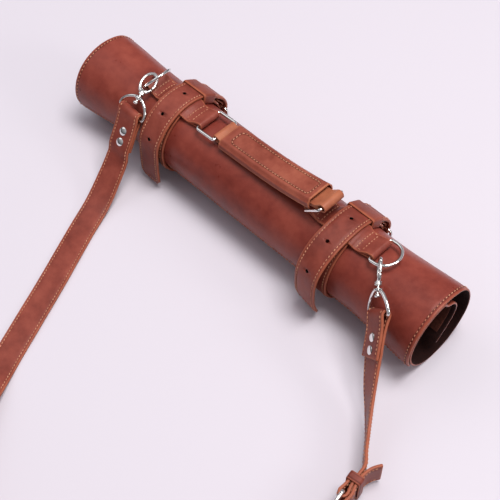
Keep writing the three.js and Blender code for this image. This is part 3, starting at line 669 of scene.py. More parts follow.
FLAT = STRAP / 2 + 0.6
EDGE = STRAP_WIDTH / 2 + 0.6
BUCKLE_Z = 17.6
LONG_ROUTE = [
    (-131, -66, 33.8), (-126, -85, 17), (-119, -106, 6), (-108, -135, FLAT), (-95, -163, FLAT),
    (-80, -195, FLAT), (-60, -240, FLAT), (-40, -284, FLAT), (-18, -320, 4), (8, -357, 10),
    (38, -386, EDGE), (72, -399, EDGE), (108, -391, EDGE), (142, -362, EDGE), (174, -322, EDGE),
    (208, -285, EDGE), (240, -252, EDGE + 1), (260, -226, EDGE + 3),
]
SHORT_ROUTE = [(210, -80, 32), (222, -94, 23.5), (236, -111, 18), (247, -126, BUCKLE_Z)]
HEEL = vec(258.5, -167, BUCKLE_Z)
AWAY = unit((0.15, -0.99, 0))
UP = vec(0, 0, 1)
OUT = -np.cross(AWAY, UP)
FRAME_REACH = 24


def at_buckle(away, out, up=0):
    return HEEL + AWAY * away + OUT * out + UP * up


def long_strap_run():
    points = [ENDS["left"](away, off) for away, off in DOUBLED_END]
    sides = [LEFT_ACROSS for _ in points]
    for i, (x, y, z) in enumerate(LONG_ROUTE):
        before = LONG_ROUTE[max(i - 1, 0)]
        after = LONG_ROUTE[min(i + 1, len(LONG_ROUTE) - 1)]
        heading = unit((after[0] - before[0], after[1] - before[1], 0))
        level = vec(-heading[1], heading[0], 0)
        share = smooth(i, 0, 3)
        settled = unit(LEFT_ACROSS * (1 - share) + level * share)
        upright = smooth(i, 7, 10) * math.pi / 2
        lowest = EDGE * math.sin(upright) + FLAT * math.cos(upright)
        points.append(vec(x, y, max(z, lowest)))
        sides.append(settled * math.cos(upright) + UP * math.sin(upright))
    through = [(44, -3.6), (FRAME_REACH + 6, -3.4), (FRAME_REACH - 2, -3), (14, 1.2), (6, 5.2),
               (-2, 6.6), (-9, 5.2), (-19, 4.6), (-27, 6), (-33, 9), (-38, 13)]
    points += [at_buckle(*place) for place in through]
    sides += [UP for _ in through]
    return Run(points, sides)


def short_strap_run():
    points = [ENDS["right"](away, off) for away, off in DOUBLED_END]
    sides = [RIGHT_ACROSS for _ in points]
    for i, place in enumerate(SHORT_ROUTE):
        share = smooth(i, -1.5, 2.5)
        points.append(vec(*place))
        sides.append(unit(RIGHT_ACROSS * (1 - share) + UP * share))
    turned = [(-away, out) for away, out in FOLD_TURNS][::-1]
    round_heel = [(-30, LAYER), (-17, LAYER), (-8, 2.2), *turned, (-8, -2.2), (-17, -LAYER)]
    points += [at_buckle(*place) for place in round_heel]
    sides += [UP for _ in round_heel]
    return Run(points, sides)


def rivet(side, number):
    end = ENDS[side]
    away = RIVETS[number - 1]
    half = STRAP + GAP / 2 + 0.12
    axis = end(0, 1) - end(0, 0)
    head = RIVET_HEAD
    profile = [(-half - 1.15, 0.4), (-half - 1.05, 0.45 * head), (-half - 0.7, 0.85 * head),
               (-half - 0.25, head), (-half, 0.96 * head), (-half, 1.3), (half, 1.3),
               (half, 0.96 * head), (half + 0.25, head), (half + 0.7, 0.85 * head),
               (half + 1.05, 0.45 * head), (half + 1.15, 0.4)]
    return metal(f"strap_rivet_{side}_{number}_metal",
                 [lathe_shell(profile, end(away, 0), axis)], "roll")


def adjusting_buckle():
    outline = rounded_rectangle(2 * 15.9, FRAME_REACH, 2.4, FRAME_REACH / 2)
    ring, over = placed(outline, HEEL, UP, AWAY)
    frame_piece = metal("strap_buckle_frame_metal", [wire_shell(ring, WIRE, over, True)], "roll")
    line = [(1.9, 0.6), (3.3, 4), (3.6, 14), (WIRE + 1.25, FRAME_REACH + 1.5)]
    prong = prong_shells([at_buckle(away, out) for out, away in line], UP, HEEL)
    return frame_piece, metal("strap_buckle_prong_metal", prong, "roll")


def adjusting_keeper():
    bottom = -LAYER - STRAP / 2 - 0.9
    roof = 5.1 + STRAP / 2 + 0.4
    outline = rounded_rectangle(2 * (STRAP_WIDTH / 2 + 0.5 + 0.7), roof - bottom + 1.4, 1.8,
                                (roof + bottom) / 2)
    shell = closed_band(outline, 8, 1.4)
    points = np.array([at_buckle(-15 + along, out, up) for up, out, along in shell[0]])
    return soft_piece("strap_keeper_leather", "strap_keeper", [(points, *shell[1:])], "roll",
                      [BELTS])


def closed_band(outline, wide, thick):
    """A leather band along a closed outline, in the outline's own flat directions."""
    flat = np.array([(*p, 0) for p in outline], float)
    tangent = np.roll(flat, -1, 0) - np.roll(flat, 1, 0)
    profile = strap_profile(wide, thick, min(2.2, wide / 4))
    rings, wear = [], []
    for place, direction in zip(flat, tangent):
        out = unit(np.cross(direction, vec(0, 0, 1)))
        rings.append([place + a * vec(0, 0, 1) + b * out for a, b, _ in profile])
        wear.extend(w for _, _, w in profile)
    points, faces = loft(np.array(rings), closed=True)
    return points, faces, wear, None


STRAP_INSET = 2.6


def shoulder_strap():
    stitch_off = STRAP_WIDTH / 2 - STRAP_INSET
    top = STRAP / 2 - 0.05
    rivets = {side: [rivet(side, 1), rivet(side, 2)] for side in ("left", "right")}
    frame_piece, prong = adjusting_buckle()
    loop = adjusting_keeper()
    on_short = [*rivets["right"], frame_piece, prong, loop]
    for name, run, side, pieces in (
        ("strap_long", long_strap_run(), "left", rivets["left"]),
        ("strap_short", short_strap_run(), "right", on_short),
    ):
        shell = strap_shell(run, always(STRAP_WIDTH), always(STRAP), STRAP_INSET)
        piece = soft_piece(f"{name}_leather", name, [shell], "roll", [BELTS])
        rows = []
        for edge in (-1, 1):
            rows += run_stitches(run, edge * stitch_off, top, 4, run.length - 4, (1, -1))
        stitching(f"{name}_stitching", rows, "roll")
        leaves = (ENDS[side](10, 0) + SHIFT) * MM
        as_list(pieces)


shoulder_strap()


# ---------------------------------------------------------------- the rolled sheet
FREE_EDGE_ANGLE = 113
SECOND_TURN_END = 468
STEP_IN = (300, 358)
INNER_TAIL = [(2.5, 72.2), (12, 66.5), (17, 57), (15.5, 46), (8, 34), (-3, 21)]
TURN_STEP = 18
PANEL_GAP = 0.5
FINE = 8
RIM_STITCH = 3.4
FREE_EDGE_STITCH = 7       # degrees in from the free edge


def looseness(x):
    """0 under and between the belts, 1 at the flared ends."""
    return float(smooth(abs(x), 142, 224))


def ripple(x, angle):
    """Slow unevenness of the leather, away from the belts and tabs."""
    clear = float(smooth(abs(abs(x) - BELT_X), 48, 62))
    turn = math.radians(angle)
    here = Vector((x / 45, 1.6 * math.cos(turn), 1.6 * math.sin(turn)))
    return 0.35 * clear * noise.noise(here)


def turn_radius(turned, x):
    """Middle of the sheet after a turn in degrees from its free edge, at a place along the roll."""
    angle = FREE_EDGE_ANGLE - turned
    bump = 2 * math.exp(-((angle + 35) / 22) ** 2)
    flare = looseness(x) * (4.4 + 2.8 * math.cos(math.radians(angle - 80)) + bump)
    step = (SHEET + TURN_GAP) * float(smooth(turned, *STEP_IN))
    return ROLL_RADIUS - SHEET / 2 + flare - step + ripple(x, angle)


def sheet_section(x):
    points = []
    for turned in range(0, SECOND_TURN_END + 1, TURN_STEP):
        point = around(FREE_EDGE_ANGLE - turned, turn_radius(turned, x))
        points.append((0, point[1], max(point[2], SHEET / 2)))
    points += [(0, y, z) for y, z in INNER_TAIL]
    return points


def rolled_shell(first, last, inward, thickness, length):
    """The sheet between two points of its section. Slot 0 is the outer face, 1 the inner one."""
    half = length / 2
    near = [half - d for d in (0, 0.15, 0.5, 1.1, 2.2, RIM_STITCH, 4.6, 7)]
    inner = np.linspace(-half + 9, half - 9, 92)
    stations = [-x for x in near] + list(inner) + near[::-1]
    layers = []
    for x in stations:
        line = spline(sheet_section(x), FINE)
        tangent = np.gradient(line, axis=0)
        tangent /= np.linalg.norm(tangent, axis=1)[:, None]
        cut = slice(int(first * FINE), int(last * FINE) + 1)
        line, tangent = line[cut], tangent[cut]
        steps = np.linalg.norm(np.diff(line, axis=0), axis=1)
        along = np.concatenate([[0], np.cumsum(steps)])
        rim = 0.42 * thickness
        to_end = np.minimum(along, along[-1] - along)
        to_end = np.minimum(to_end, half - abs(x))
        pinch = 1 - np.sqrt(np.clip(1 - np.clip(1 - to_end / rim, 0, 1) ** 2, 0, 1))
        sewn = abs(half - abs(x) - RIM_STITCH) < 0.01 and thickness == SHEET
        thick = thickness / 2 - 0.8 * rim * pinch - 0.25 * sewn
        inside = np.stack([0 * along, tangent[:, 2], -tangent[:, 1]], axis=1)
        middle = line + inside * inward
        faces_out = middle - inside * thick[:, None]
        faces_in = middle + inside * thick[:, None]
        ring = np.vstack([faces_out, faces_in[::-1]])
        ring[:, 0] = x
        ring[:, 2] = np.maximum(ring[:, 2], 0.02)
        # Along the stitch line the value drops below 0: painted shade in the groove.
        wear = 1 - smooth(to_end, 0.2, 2.2) - 0.7 * sewn
        layers.append((ring, np.concatenate([wear, wear[::-1]])))
    rings = np.array([ring for ring, _ in layers])
    wear = np.concatenate([w for _, w in layers])
    sides = rings.shape[1]
    count = sides // 2
    points, faces = loft(rings)
    faces = faces[:-2]
    slots = [1 if count <= i % sides < sides - 1 else 0 for i in range(len(faces))]
    for start in (0, (len(stations) - 1) * sides):
        for i in range(count - 1):
            quad = [start + i, start + i + 1, start + sides - 2 - i, start + sides - 1 - i]
            faces.append(tuple(quad if start else quad[::-1]))
            slots.append(0)
    return points, faces, wear, slots


SHEET_END = len(sheet_section(0)) - 1
PANEL_INWARD = SHEET / 2 + PANEL_GAP + LINING / 2


def surface_of_sheet(x, turned):
    """A point on the sheet's outer face, and the direction out of it."""
    angle = FREE_EDGE_ANGLE - turned
    radius = turn_radius(turned, x) + SHEET / 2
    place = around(angle, radius, x)
    out = unit(around(angle, 1) - around(angle, 0))
    place[2] = max(place[2], 0.05)
    return place, out


def rolled_case():
    sheet = rolled_shell(0, SHEET_END, 0, SHEET, ROLL_LENGTH)
    soft_piece("outer_sheet_leather", "outer_sheet", [sheet], "roll", [SHELL, FLESH_AND_SHADE])
    panel = rolled_shell(SHEET_END - 9, SHEET_END - 0.5, PANEL_INWARD, LINING, ROLL_LENGTH - 8)
    soft_piece("pocket_panel_leather", "pocket_panel", [panel], "roll", [LINER, LINER])
    rows = []
    turns = np.arange(6, 352, math.degrees(STITCH_PITCH / ROLL_RADIUS))
    for end in (-1, 1):
        x = end * (ROLL_LENGTH / 2 - RIM_STITCH)
        for turned in turns:
            place, out = surface_of_sheet(x, turned)
            if place[2] < 1.5:
                continue
            ahead = surface_of_sheet(x, turned + 1)[0]
            rows.append(one_stitch(place, unit(ahead - place), out))
    for x in np.arange(-ROLL_LENGTH / 2 + 8, ROLL_LENGTH / 2 - 8, STITCH_PITCH):
        if abs(abs(x) - BELT_X) < BELT_WIDTH / 2 + 1:
            continue
        place, out = surface_of_sheet(x, FREE_EDGE_STITCH)
        rows.append(one_stitch(place, vec(1, 0, 0), out))
    stitching("outer_sheet_stitching", rows, "roll")


rolled_case()


# ---------------------------------------------------------------- belts
UNDER_RADIUS = ROLL_RADIUS + 0.4 + BELT / 2
UNDER_LIFT = 1.2
TAB_INNER = UNDER_RADIUS + UNDER_LIFT + BELT / 2 + GAP
TAIL_RADIUS = TAB_INNER + TAB + GAP + BELT / 2
HEEL_ANGLE = -77
HEEL_RADIUS = 43.4
CHAPE = 1.4
CHAPE_WIDTH = 21
ROLLER_ANGLE = -104
ROLLER_OUTER = 2.6
ROLLER_RADIUS = UNDER_RADIUS + BELT / 2 + GAP + ROLLER_OUTER + 0.2
FRAME_HALF = 18.4
KEEPER_ANGLES = (-43, -21)
KEEPER_LEATHER = 1.6
BELT_INSET = 3.0
TIP_STITCH = 4.5
PUNCH_REACH = (-1.7, 11)   # a punch, measured from the middle of the tail
SLOT = (4.6, 9)            # where the prong passes through the fold
PRONG_CLEARANCE = 1
TAILS = {
    "left": {"standoff": (0, 0, 0, 0.8), "end": ((-46, 30), (-46, 15), (-45, 4)), "lean": 1},
    "right": {"standoff": (1, 4, 7, 8), "end": ((-51.5, 30), (-48, 16), (-43, 4)), "lean": 4},
}

HEEL_BAR = around(HEEL_ANGLE, HEEL_RADIUS)
ROLLER_BAR = around(ROLLER_ANGLE, ROLLER_RADIUS)
TO_ROLLER = unit(ROLLER_BAR - HEEL_BAR)
FRAME_LENGTH = float(np.linalg.norm(ROLLER_BAR - HEEL_BAR))


def by_heel(out, back, x=0.0):
    place = HEEL_BAR + vec(0, -TO_ROLLER[2], TO_ROLLER[1]) * out + TO_ROLLER * back
    return vec(x, place[1], place[2])


def belt_run(side):
    fold = WIRE + GAP + CHAPE / 2
    points = [around(-60, 42.9), around(-66, 43.7), around(-71.5, 45.1)]
    for turn in range(0, 181, 36):
        swing = math.radians(turn)
        points.append(by_heel(fold * math.cos(swing), fold * math.sin(swing)))
    for angle in np.arange(-66, 249.1, 17.5):
        lift = UNDER_LIFT * (1 - float(smooth(angle, 24, 50)))
        points.append(around(angle, UNDER_RADIUS + lift))
    rise = ((256, 39.2), (262, 40.7), (268, 43.3), (274, 45.9), (280, 47.9), (288, 48.4),
            (297, 47.6))
    points += [around(angle, radius) for angle, radius in rise]
    points += [around(angle, TAIL_RADIUS) for angle in range(308, 369, 15)]
    tail = TAILS[side]
    points += [around(20 + 17 * i, TAIL_RADIUS + off) for i, off in enumerate(tail["standoff"])]
    points += [vec(0, y, z) for y, z in tail["end"]]
    return Run(points, [vec(1, 0, 0)] * len(points))


def leaning(points, side, x):
    """Moves a belt's points to its place on the roll; its free tail leans a little."""
    points = np.array(points, float)
    reach = np.hypot(points[:, 1], points[:, 2] - AXIS_Z)
    free = smooth(-points[:, 1], 26, 50) * smooth(reach, 42.3, 45)
    points[:, 1] -= points[:, 0] / BELT_WIDTH * TAILS[side]["lean"] * free
    points[:, 0] += x
    return points


def cut_away(piece, cutters):
    """Takes closed shells out of a piece; the cut faces get a near-black colour, painted shade inside
    the holes.
    """
    tool = new_piece(f"{piece.name}_tool", cutters, "roll", [HOLE_SHADE])
    cut = piece.modifiers.new("cut", "BOOLEAN")
    cut.operation = "DIFFERENCE"
    cut.solver = "EXACT"
    cut.use_self = True
    cut.material_mode = "TRANSFER"
    cut.object = tool
    graph = bpy.context.evaluated_depsgraph_get()
    mesh = bpy.data.meshes.new_from_object(piece.evaluated_get(graph))
    piece.modifiers.clear()
    piece.data = mesh
    bpy.data.objects.remove(tool)


def belt(side, x):
    run = belt_run(side)
    tip = run.knot[-1]

    def width(knot):
        grown = CHAPE_WIDTH + (BELT_WIDTH - CHAPE_WIDTH) * float(smooth(knot, 8.6, 9.4))
        return grown * (1 - 0.3 * float(smooth(knot, tip - 0.6, tip)))

    def thickness(knot):
        return CHAPE + (BELT - CHAPE) * float(smooth(knot, 8, 10))

    points, faces, wear, slots = strap_shell(run, width, thickness, BELT_INSET)
    piece = new_piece(f"{side}_belt_leather", [(leaning(points, side, x), faces, wear, slots)],
                      "roll", [BELTS, HOLE_SHADE])
    punches = []
    for angle in HOLE_ANGLES:
        low, high = (TAIL_RADIUS + reach for reach in PUNCH_REACH)
        start = around(angle, low, x)
        axis = around(angle, high, x) - start
        punches.append(lathe_shell([(0, HOLE_RADIUS), (high - low, HOLE_RADIUS)], start, axis))
    slot, over = placed(rounded_rectangle(*SLOT, 2, 0, 3), by_heel(0, 0.2, x),
                        vec(1, 0, 0), TO_ROLLER)
    slot_rings = np.array([slot - 4.5 * over, slot + 4.5 * over])
    punches.append((*loft(slot_rings), None, None))
    middle = by_heel(4.3, 0.55 * FRAME_LENGTH, x)
    start = by_heel(3.2, 1, x)
    reach = float(np.linalg.norm(middle - start))
    bore = PRONG + PRONG_CLEARANCE
    punches.append(lathe_shell([(0, bore), (reach, bore)], start, middle - start))
    cut_away(piece, punches)
    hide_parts(f"{side}_belt")
    first = float(np.interp(10, run.knot, run.distance))
    rows = []
    for edge in (-1, 1):
        rows += run_stitches(run, edge * (BELT_WIDTH / 2 - BELT_INSET), BELT / 2 - 0.05,
                             first, run.length - 6)
    place, _, across, out = run.at(run.length - TIP_STITCH)
    for share in (-2, -1, 0, 1, 2):
        rows.append(one_stitch(place + share * STITCH_PITCH * across + out * (BELT / 2 - 0.05),
                               across, out))
    rows = [(leaning(p, side, x), f, w, s) for p, f, w, s in rows]
    stitching(f"{side}_belt_stitching", rows, "roll")


def belt_keeper(side, x):
    bottom = ROLL_RADIUS + 0.3
    inner_floor = bottom + 1
    inner_roof = TAIL_RADIUS + BELT / 2 + 0.4
    top = inner_roof + KEEPER_LEATHER
    half = BELT_WIDTH / 2 + 0.5
    outer = rounded_rectangle(2 * (half + KEEPER_LEATHER), top - bottom, 2.6,
                              (top + bottom) / 2)
    inner = rounded_rectangle(2 * half, inner_roof - inner_floor, 1.2,
                              (inner_roof + inner_floor) / 2)
    low, high = KEEPER_ANGLES
    marks = [(0, 0.5), (0.06, 0.12), (0.15, 0), (0.85, 0), (0.94, 0.12), (1, 0.5)]
    rings, wear = [], []
    for outside, inside in zip(outer, inner):
        ring = []
        for face, opposite, order in ((outside, inside, 1), (inside, outside, -1)):
            for share, pinch in marks[::order]:
                across, radius = vec(*face) + (vec(*opposite) - vec(*face)) * pinch * 0.6
                ring.append(around(low + (high - low) * share, radius, across + x))
                wear.append(1.0 if pinch else 0.15)
        rings.append(ring)
    points, faces = loft(np.array(rings), closed=True)
    soft_piece(f"{side}_keeper_leather", f"{side}_belt_keeper", [(points, faces, wear, None)],
               f"{side}_keeper", [BELTS])


def belt_buckle(side, x):
    outline = rounded_rectangle(2 * FRAME_HALF, FRAME_LENGTH, 3.5, FRAME_LENGTH / 2)
    ring, over = placed(outline, by_heel(0, 0, x), vec(1, 0, 0), TO_ROLLER)
    metal(f"{side}_buckle_frame_metal", [wire_shell(ring, WIRE, over, True)], "roll")
    roller = tube_shell(WIRE + 0.25, ROLLER_OUTER, FRAME_HALF - 4.2,
                        around(ROLLER_ANGLE, ROLLER_RADIUS, x), vec(1, 0, 0))
    metal(f"{side}_buckle_roller_metal", [roller], f"{side}_roller")
    resting = ROLLER_OUTER + PRONG + 0.15
    line = ((EYE - 0.8, 0.6), (EYE + 0.6, 4), (4.3, 0.55 * FRAME_LENGTH),
            (resting, FRAME_LENGTH + 1.5))
    prong = prong_shells([by_heel(out, back, x) for out, back in line], vec(1, 0, 0),
                         by_heel(0, 0, x))
    metal(f"{side}_buckle_prong_metal", prong, f"{side}_prong")


# ---------------------------------------------------------------- ring tabs
FOLD_REACH = 37.5
FOLD_RADIUS = 42
WIRE_ROOM = WIRE + 0.35
FOLD = WIRE_ROOM + 1.8
TAB_FLOOR = ROLL_RADIUS + 0.35
TAB_TOP = [(20, TAB_FLOOR + 3.6), (15.6, TAB_INNER + TAB - 0.2), (13, TAB_INNER + TAB)]
TAB_TUNNEL = [(14, TAB_INNER), (15.2, TAB_INNER - 1.6), (16.4, TAB_FLOOR)]


def arc(centre_x, centre_y, radius, start, end, steps=14):
    return [(centre_x + radius * math.cos(math.radians(t)),
             centre_y + radius * math.sin(math.radians(t)))
            for t in np.linspace(start, end, steps + 1)]


def prism(outline, holes, depth, cuts, rim):
    """A flat outline with holes made solid, its rims rounded: points (x, y, depth) and faces."""
    curve = bpy.data.curves.new("outline", "CURVE")
    curve.dimensions = "2D"
    curve.fill_mode = "BOTH"
    curve.extrude = depth / 2 - rim
    curve.bevel_depth = rim
    curve.bevel_resolution = 2
    curve.offset = -rim
    for loop in (outline, *holes):
        line = curve.splines.new("POLY")
        line.points.add(len(loop) - 1)
        for point, (x, y) in zip(line.points, loop):
            point.co = (x, y, 0, 1)
        line.use_cyclic_u = True
    shape = bpy.data.objects.new("outline", curve)
    bpy.context.scene.collection.objects.link(shape)
    graph = bpy.context.evaluated_depsgraph_get()
    mesh = bpy.data.meshes.new_from_object(shape.evaluated_get(graph))
    bpy.data.objects.remove(shape)
    work = bmesh.new()
    work.from_mesh(mesh)
    bmesh.ops.remove_doubles(work, verts=work.verts, dist=1e-4)
    for axis, places in cuts.items():
        for place in places:
            direction = Vector([float(i == axis) for i in range(3)])
            parts = [*work.verts, *work.edges, *work.faces]
            bmesh.ops.bisect_plane(work, geom=parts, dist=1e-5, plane_co=direction * place,
                                   plane_no=direction)
    points = np.array([v.co for v in work.verts])
    faces = [[v.index for v in face.verts] for face in work.faces]
    work.free()
    return points, faces


def tab_place(x):
    """Wraps a tab over the roll. Its folded ends lie flat and are a little narrower."""
    def put(a, b, offset):
        flatness = float(smooth(abs(a), 22, 33))
        offset = offset * (TAB_WIDTH - 4 * flatness) / TAB_WIDTH
        curved = around(math.degrees(offset / FOLD_RADIUS), b, x + a)
        straight = vec(x + a, -offset, AXIS_Z + b)
        return curved * (1 - flatness) + straight * flatness
    return put


def rim_wear(points, depth, reach=1.6):
    """Edge wear near the two cut sides of a flat shape."""
    return [float(1 - smooth(depth / 2 - abs(p[2]), 0.1, reach)) for p in points]


def ring_tab(side, x):
    right = [*arc(FOLD_REACH, FOLD_RADIUS, FOLD, -90, 100), (26, TAB_FLOOR + 4), *TAB_TOP]
    top = [*right, (0, TAB_INNER + TAB)]
    mirrored = [(-a, b) for a, b in right[::-1]]
    tunnel = [(-a, b) for a, b in TAB_TUNNEL[::-1]] + TAB_TUNNEL
    outline = [*top, *mirrored, (-28, TAB_FLOOR), *tunnel, (28, TAB_FLOOR)]
    holes = []
    for end in (-1, 1):
        holes.append([*arc(end * FOLD_REACH, FOLD_RADIUS, WIRE_ROOM, 90 - end * 10,
                           90 - end * 170, 10), (end * 29, TAB_FLOOR + 2.1)])
    offsets = list(np.linspace(-12, 12, 9))
    flat, faces = prism(outline, holes, TAB_WIDTH, {2: offsets, 0: np.arange(-34, 35, 3)}, 0.5)
    put = tab_place(x)
    points = np.array([put(*p) for p in flat])
    soft_piece(f"{side}_ring_tab_leather", f"{side}_ring_tab",
               [(points, faces, rim_wear(flat, TAB_WIDTH), None)], "roll", [BELTS])
    rows = []
    slope = [(-30, TAB_FLOOR + 4.6), (-26, TAB_FLOOR + 4), (-20, TAB_FLOOR + 3.6)]

    def surface(a, offset):
        height = float(np.interp(-abs(a), [s[0] for s in slope], [s[1] for s in slope]))
        place = put(a, height, offset)
        out = unit(put(a, height + 1, offset) - place)
        return place, out

    for end in (-1, 1):
        rows += line_stitches([(end * 20.6, -12), (end * 20.6, 12)], surface)
        rows += line_stitches([(end * 27, -11), (end * 27, 11)], surface)
        for offset in (-11.6, 11.6):
            rows += line_stitches([(end * 21.6, offset), (end * 26, offset)], surface)
    stitching(f"{side}_ring_tab_stitching", rows, "roll")


# ---------------------------------------------------------------- rings
RING_HALF = 15
RING_REACH = 23
D_HALF = 14.7
LEANS = {"left_d": 51.5, "right_d": 8, "left_handle": 3.2, "right_handle": 42}


def ring_place(outline, x, lean):
    turn = math.radians(lean)
    bar = vec(x, 0, AXIS_Z + FOLD_RADIUS)
    return placed(outline, bar, vec(0, 1, 0), vec(math.cos(turn), 0, math.sin(turn)))


def d_ring(side, x):
    dome = [(D_HALF * math.cos(t), 6.5 + 14 * math.sin(t)) for t in np.linspace(0, math.pi, 33)]
    outline = [*dome, *arc(-D_HALF + 2.5, 2.5, 2.5, 180, 270, 6),
               *arc(D_HALF - 2.5, 2.5, 2.5, 270, 360, 6)]
    ring, over = ring_place(outline, x, LEANS[f"{side}_d"])
    metal(f"{side}_d_ring_metal", [wire_shell(ring, WIRE, over, True)], f"{side}_d_ring")


def handle_ring(side, x):
    outline = rounded_rectangle(2 * RING_HALF, RING_REACH, 2.6, RING_REACH / 2)
    ring, over = ring_place(outline, x, LEANS[f"{side}_handle"])
    metal(f"{side}_handle_ring_metal", [wire_shell(ring, WIRE, over, True)],
          f"{side}_handle_ring")


for the_side, sign in (("left", -1), ("right", 1)):
    belt_x = sign * BELT_X
    belt(the_side, belt_x)
    belt_keeper(the_side, belt_x)
    belt_buckle(the_side, belt_x)
    ring_tab(the_side, belt_x)
    d_ring(the_side, belt_x + sign * FOLD_REACH)
    handle_ring(the_side, belt_x - sign * FOLD_REACH)


# ---------------------------------------------------------------- carrying handle
HANDLE_WIDTH = 26
HANDLE_STRAP = 2.4
HANDLE_FLOOR = -4.2
COVER_WIDTH = 32
COVER_TOP = 5.2
COVER = 1.6
SLACK_ROOM = 2.75
SLACK_LOOP = SLACK_ROOM + 1.7
COVER_FROM = 7
COVER_TO = 13


def ring_end(x, lean):
    turn = math.radians(lean)
    return vec(x + RING_REACH * math.cos(turn), 0,
               AXIS_Z + FOLD_RADIUS + RING_REACH * math.sin(turn))


HANDLE_RUN = Run([ring_end(FOLD_REACH - BELT_X, LEANS["left_handle"]), vec(-20, 0, 84.8),
                  vec(20, 0, 86.8), vec(55, 0, 91.3),
                  ring_end(BELT_X - FOLD_REACH, LEANS["right_handle"])],
                 [vec(0, 1, 0)] * 5, per_span=40)


def on_handle(distance, up, side):
    """A point by its distance along the handle, above its line and to the side."""
    inside = min(max(distance, 0), HANDLE_RUN.length)
    place, tangent, _, _ = HANDLE_RUN.at(inside)
    rise = vec(-tangent[2], 0, tangent[0])
    return place + tangent * (distance - inside) + rise * up + vec(0, side, 0)


def handle_strap():
    end = HANDLE_RUN.length
    top = HANDLE_FLOOR + HANDLE_STRAP
    outline = [(9, top + 1.6), *arc(0, 0, FOLD, 65, 275), (9, HANDLE_FLOOR),
               (end - 9, HANDLE_FLOOR), *arc(end, 0, SLACK_LOOP, -95, 115),
               (end - 9, top + 1.6), (end - 20, top + 1.6), (end - 20.6, top), (20.6, top),
               (20, top + 1.6)]
    holes = [[*arc(0, 0, WIRE_ROOM, 60, 280), (6.5, -1.4)],
             [*arc(end, 0, SLACK_ROOM, 120, -100), (end - 6.5, -1.4)]]
    wide = HANDLE_WIDTH * 0.94
    flat, faces = prism(outline, holes, wide, {0: np.arange(10, end - 9, 4)}, 0.5)
    points = np.array([on_handle(a, b, c) for a, b, c in flat])
    soft_piece("handle_strap_leather", "handle_strap",
               [(points, faces, rim_wear(flat, wide), None)], "handle", [HANDLE])


def stitch_outline():
    """The long rectangle of stitches on the handle's cover, its corners cut off."""
    start, end = COVER_FROM + 9, HANDLE_RUN.length - COVER_TO - 6
    half = 8.85
    return [(start, -half + 3), (start + 3, -half), (end - 2, -half), (end, -half + 2),
            (end, half - 2), (end - 2, half), (start + 3, half), (start, half - 3)]


def distance_to_outline(point, outline):
    """Shortest way from a flat point to a closed outline."""
    best = 1e9
    for i, start in enumerate(outline):
        end = outline[(i + 1) % len(outline)]
        a, b, p = vec(*start), vec(*end), vec(*point)
        share = np.clip(np.dot(p - a, b - a) / np.dot(b - a, b - a), 0, 1)
        best = min(best, float(np.linalg.norm(p - a - share * (b - a))))
    return best


def cover_height(distance, side):
    """Top of the cover: a crowned middle inside the stitches, a groove under them, soft flanks."""
    groove = 0.4 * math.exp(-(distance_to_outline((distance, side), stitch_outline()) / 0.9) ** 2)
    flank = 6.6 * float(smooth(abs(side), 11.2, 17)) ** 1.3
    return COVER_TOP - 0.25 + 0.2 * math.cos(side / 11 * math.pi / 2) - groove - flank


def handle_cover():
    half = COVER_WIDTH / 2
    start, end = COVER_FROM, HANDLE_RUN.length - COVER_TO
    stations = [start, start + 0.15, start + 0.5, *np.arange(start + 1.2, end - 1, 1.1),
                end - 0.5, end - 0.15, end]
    across = [-14.2, -13.2, -12.2, -11.2, -10, -9.4, -8.85, -8.3, -7.6, -5.5, -3, 0,
              3, 5.5, 7.6, 8.3, 8.85, 9.4, 10, 11.2, 12.2, 13.2, 14.2]
    inner = [(half - COVER, HANDLE_FLOOR + 0.2), (half - COVER, -1.2), (half - 3.6,
             COVER_TOP - COVER - 0.2), (0, COVER_TOP - COVER - 0.1),
             (-half + 3.6, COVER_TOP - COVER - 0.2), (-half + COVER, -1.2),
             (-half + COVER, HANDLE_FLOOR + 0.2)]
    rings, wear = [], []
    for distance in stations:
        to_end = min(distance - start, end - distance)
        drop = 0.6 * (1 - math.sqrt(max(0, 1 - max(0, 1 - to_end / 0.8) ** 2)))
        outer = [(-half + 0.4, HANDLE_FLOOR), (-half, HANDLE_FLOOR + 0.5), (-half, -1.5),
                 (-half + 0.5, 1)]
        outer += [(side, cover_height(distance, side)) for side in across]
        outer += [(half - 0.5, 1), (half, -1.5), (half, HANDLE_FLOOR + 0.5),
                  (half - 0.4, HANDLE_FLOOR)]
        rings.append([on_handle(distance, up - drop * (up > 0), side * (1 - drop * 0.03))
                      for side, up in outer] +
                     [on_handle(distance, up, side) for side, up in inner])
        near_end = float(1 - smooth(to_end, 0.3, 1.8))
        low = [float(smooth(-up, 2.2, 3.8)) for _, up in outer]
        sewn = [distance_to_outline((distance, side), stitch_outline()) for side, _ in outer]
        # Along the stitches the value drops below 0: painted shade in the groove under them.
        worn = [max(w, near_end) - 0.8 * math.exp(-(d / 0.8) ** 2) for w, d in zip(low, sewn)]
        wear += worn + [0.3] * len(inner)
    points, faces = loft(np.array(rings))
    soft_piece("handle_cover_leather", "handle_cover", [(points, faces, wear, None)], "handle",
               [HANDLE])

    def surface(distance, side):
        up = cover_height(distance, side) + 0.05
        place = on_handle(distance, up, side)
        return place, unit(on_handle(distance, up + 1, side) - place)

    stitching("handle_stitching", line_stitches(stitch_outline(), surface, closed=True),
              "handle")


def handle_padding():
    """The felt filler under the cover."""
    start, end = 23, HANDLE_RUN.length - 24
    bottom = HANDLE_FLOOR + HANDLE_STRAP + GAP
    top = COVER_TOP - COVER - GAP - 0.1
    rings = []
    for distance in np.linspace(start, end, 40):
        to_end = min(distance - start, end - distance)
        pinch = 1 - 0.35 * float(1 - smooth(to_end, 0, 3))
        middle = (top + bottom) / 2
        outline = rounded_rectangle(2 * 11.6 * pinch, (top - bottom) * pinch, 1.4, middle, 4)
        rings.append([on_handle(distance, up, side) for side, up in outline])
    points, faces = loft(np.array(rings))
    piece = soft_piece("handle_padding_felt", "handle_padding", [(points, faces, None, None)],
                       "handle", [FELT])


handle_strap()
handle_cover()
handle_padding()


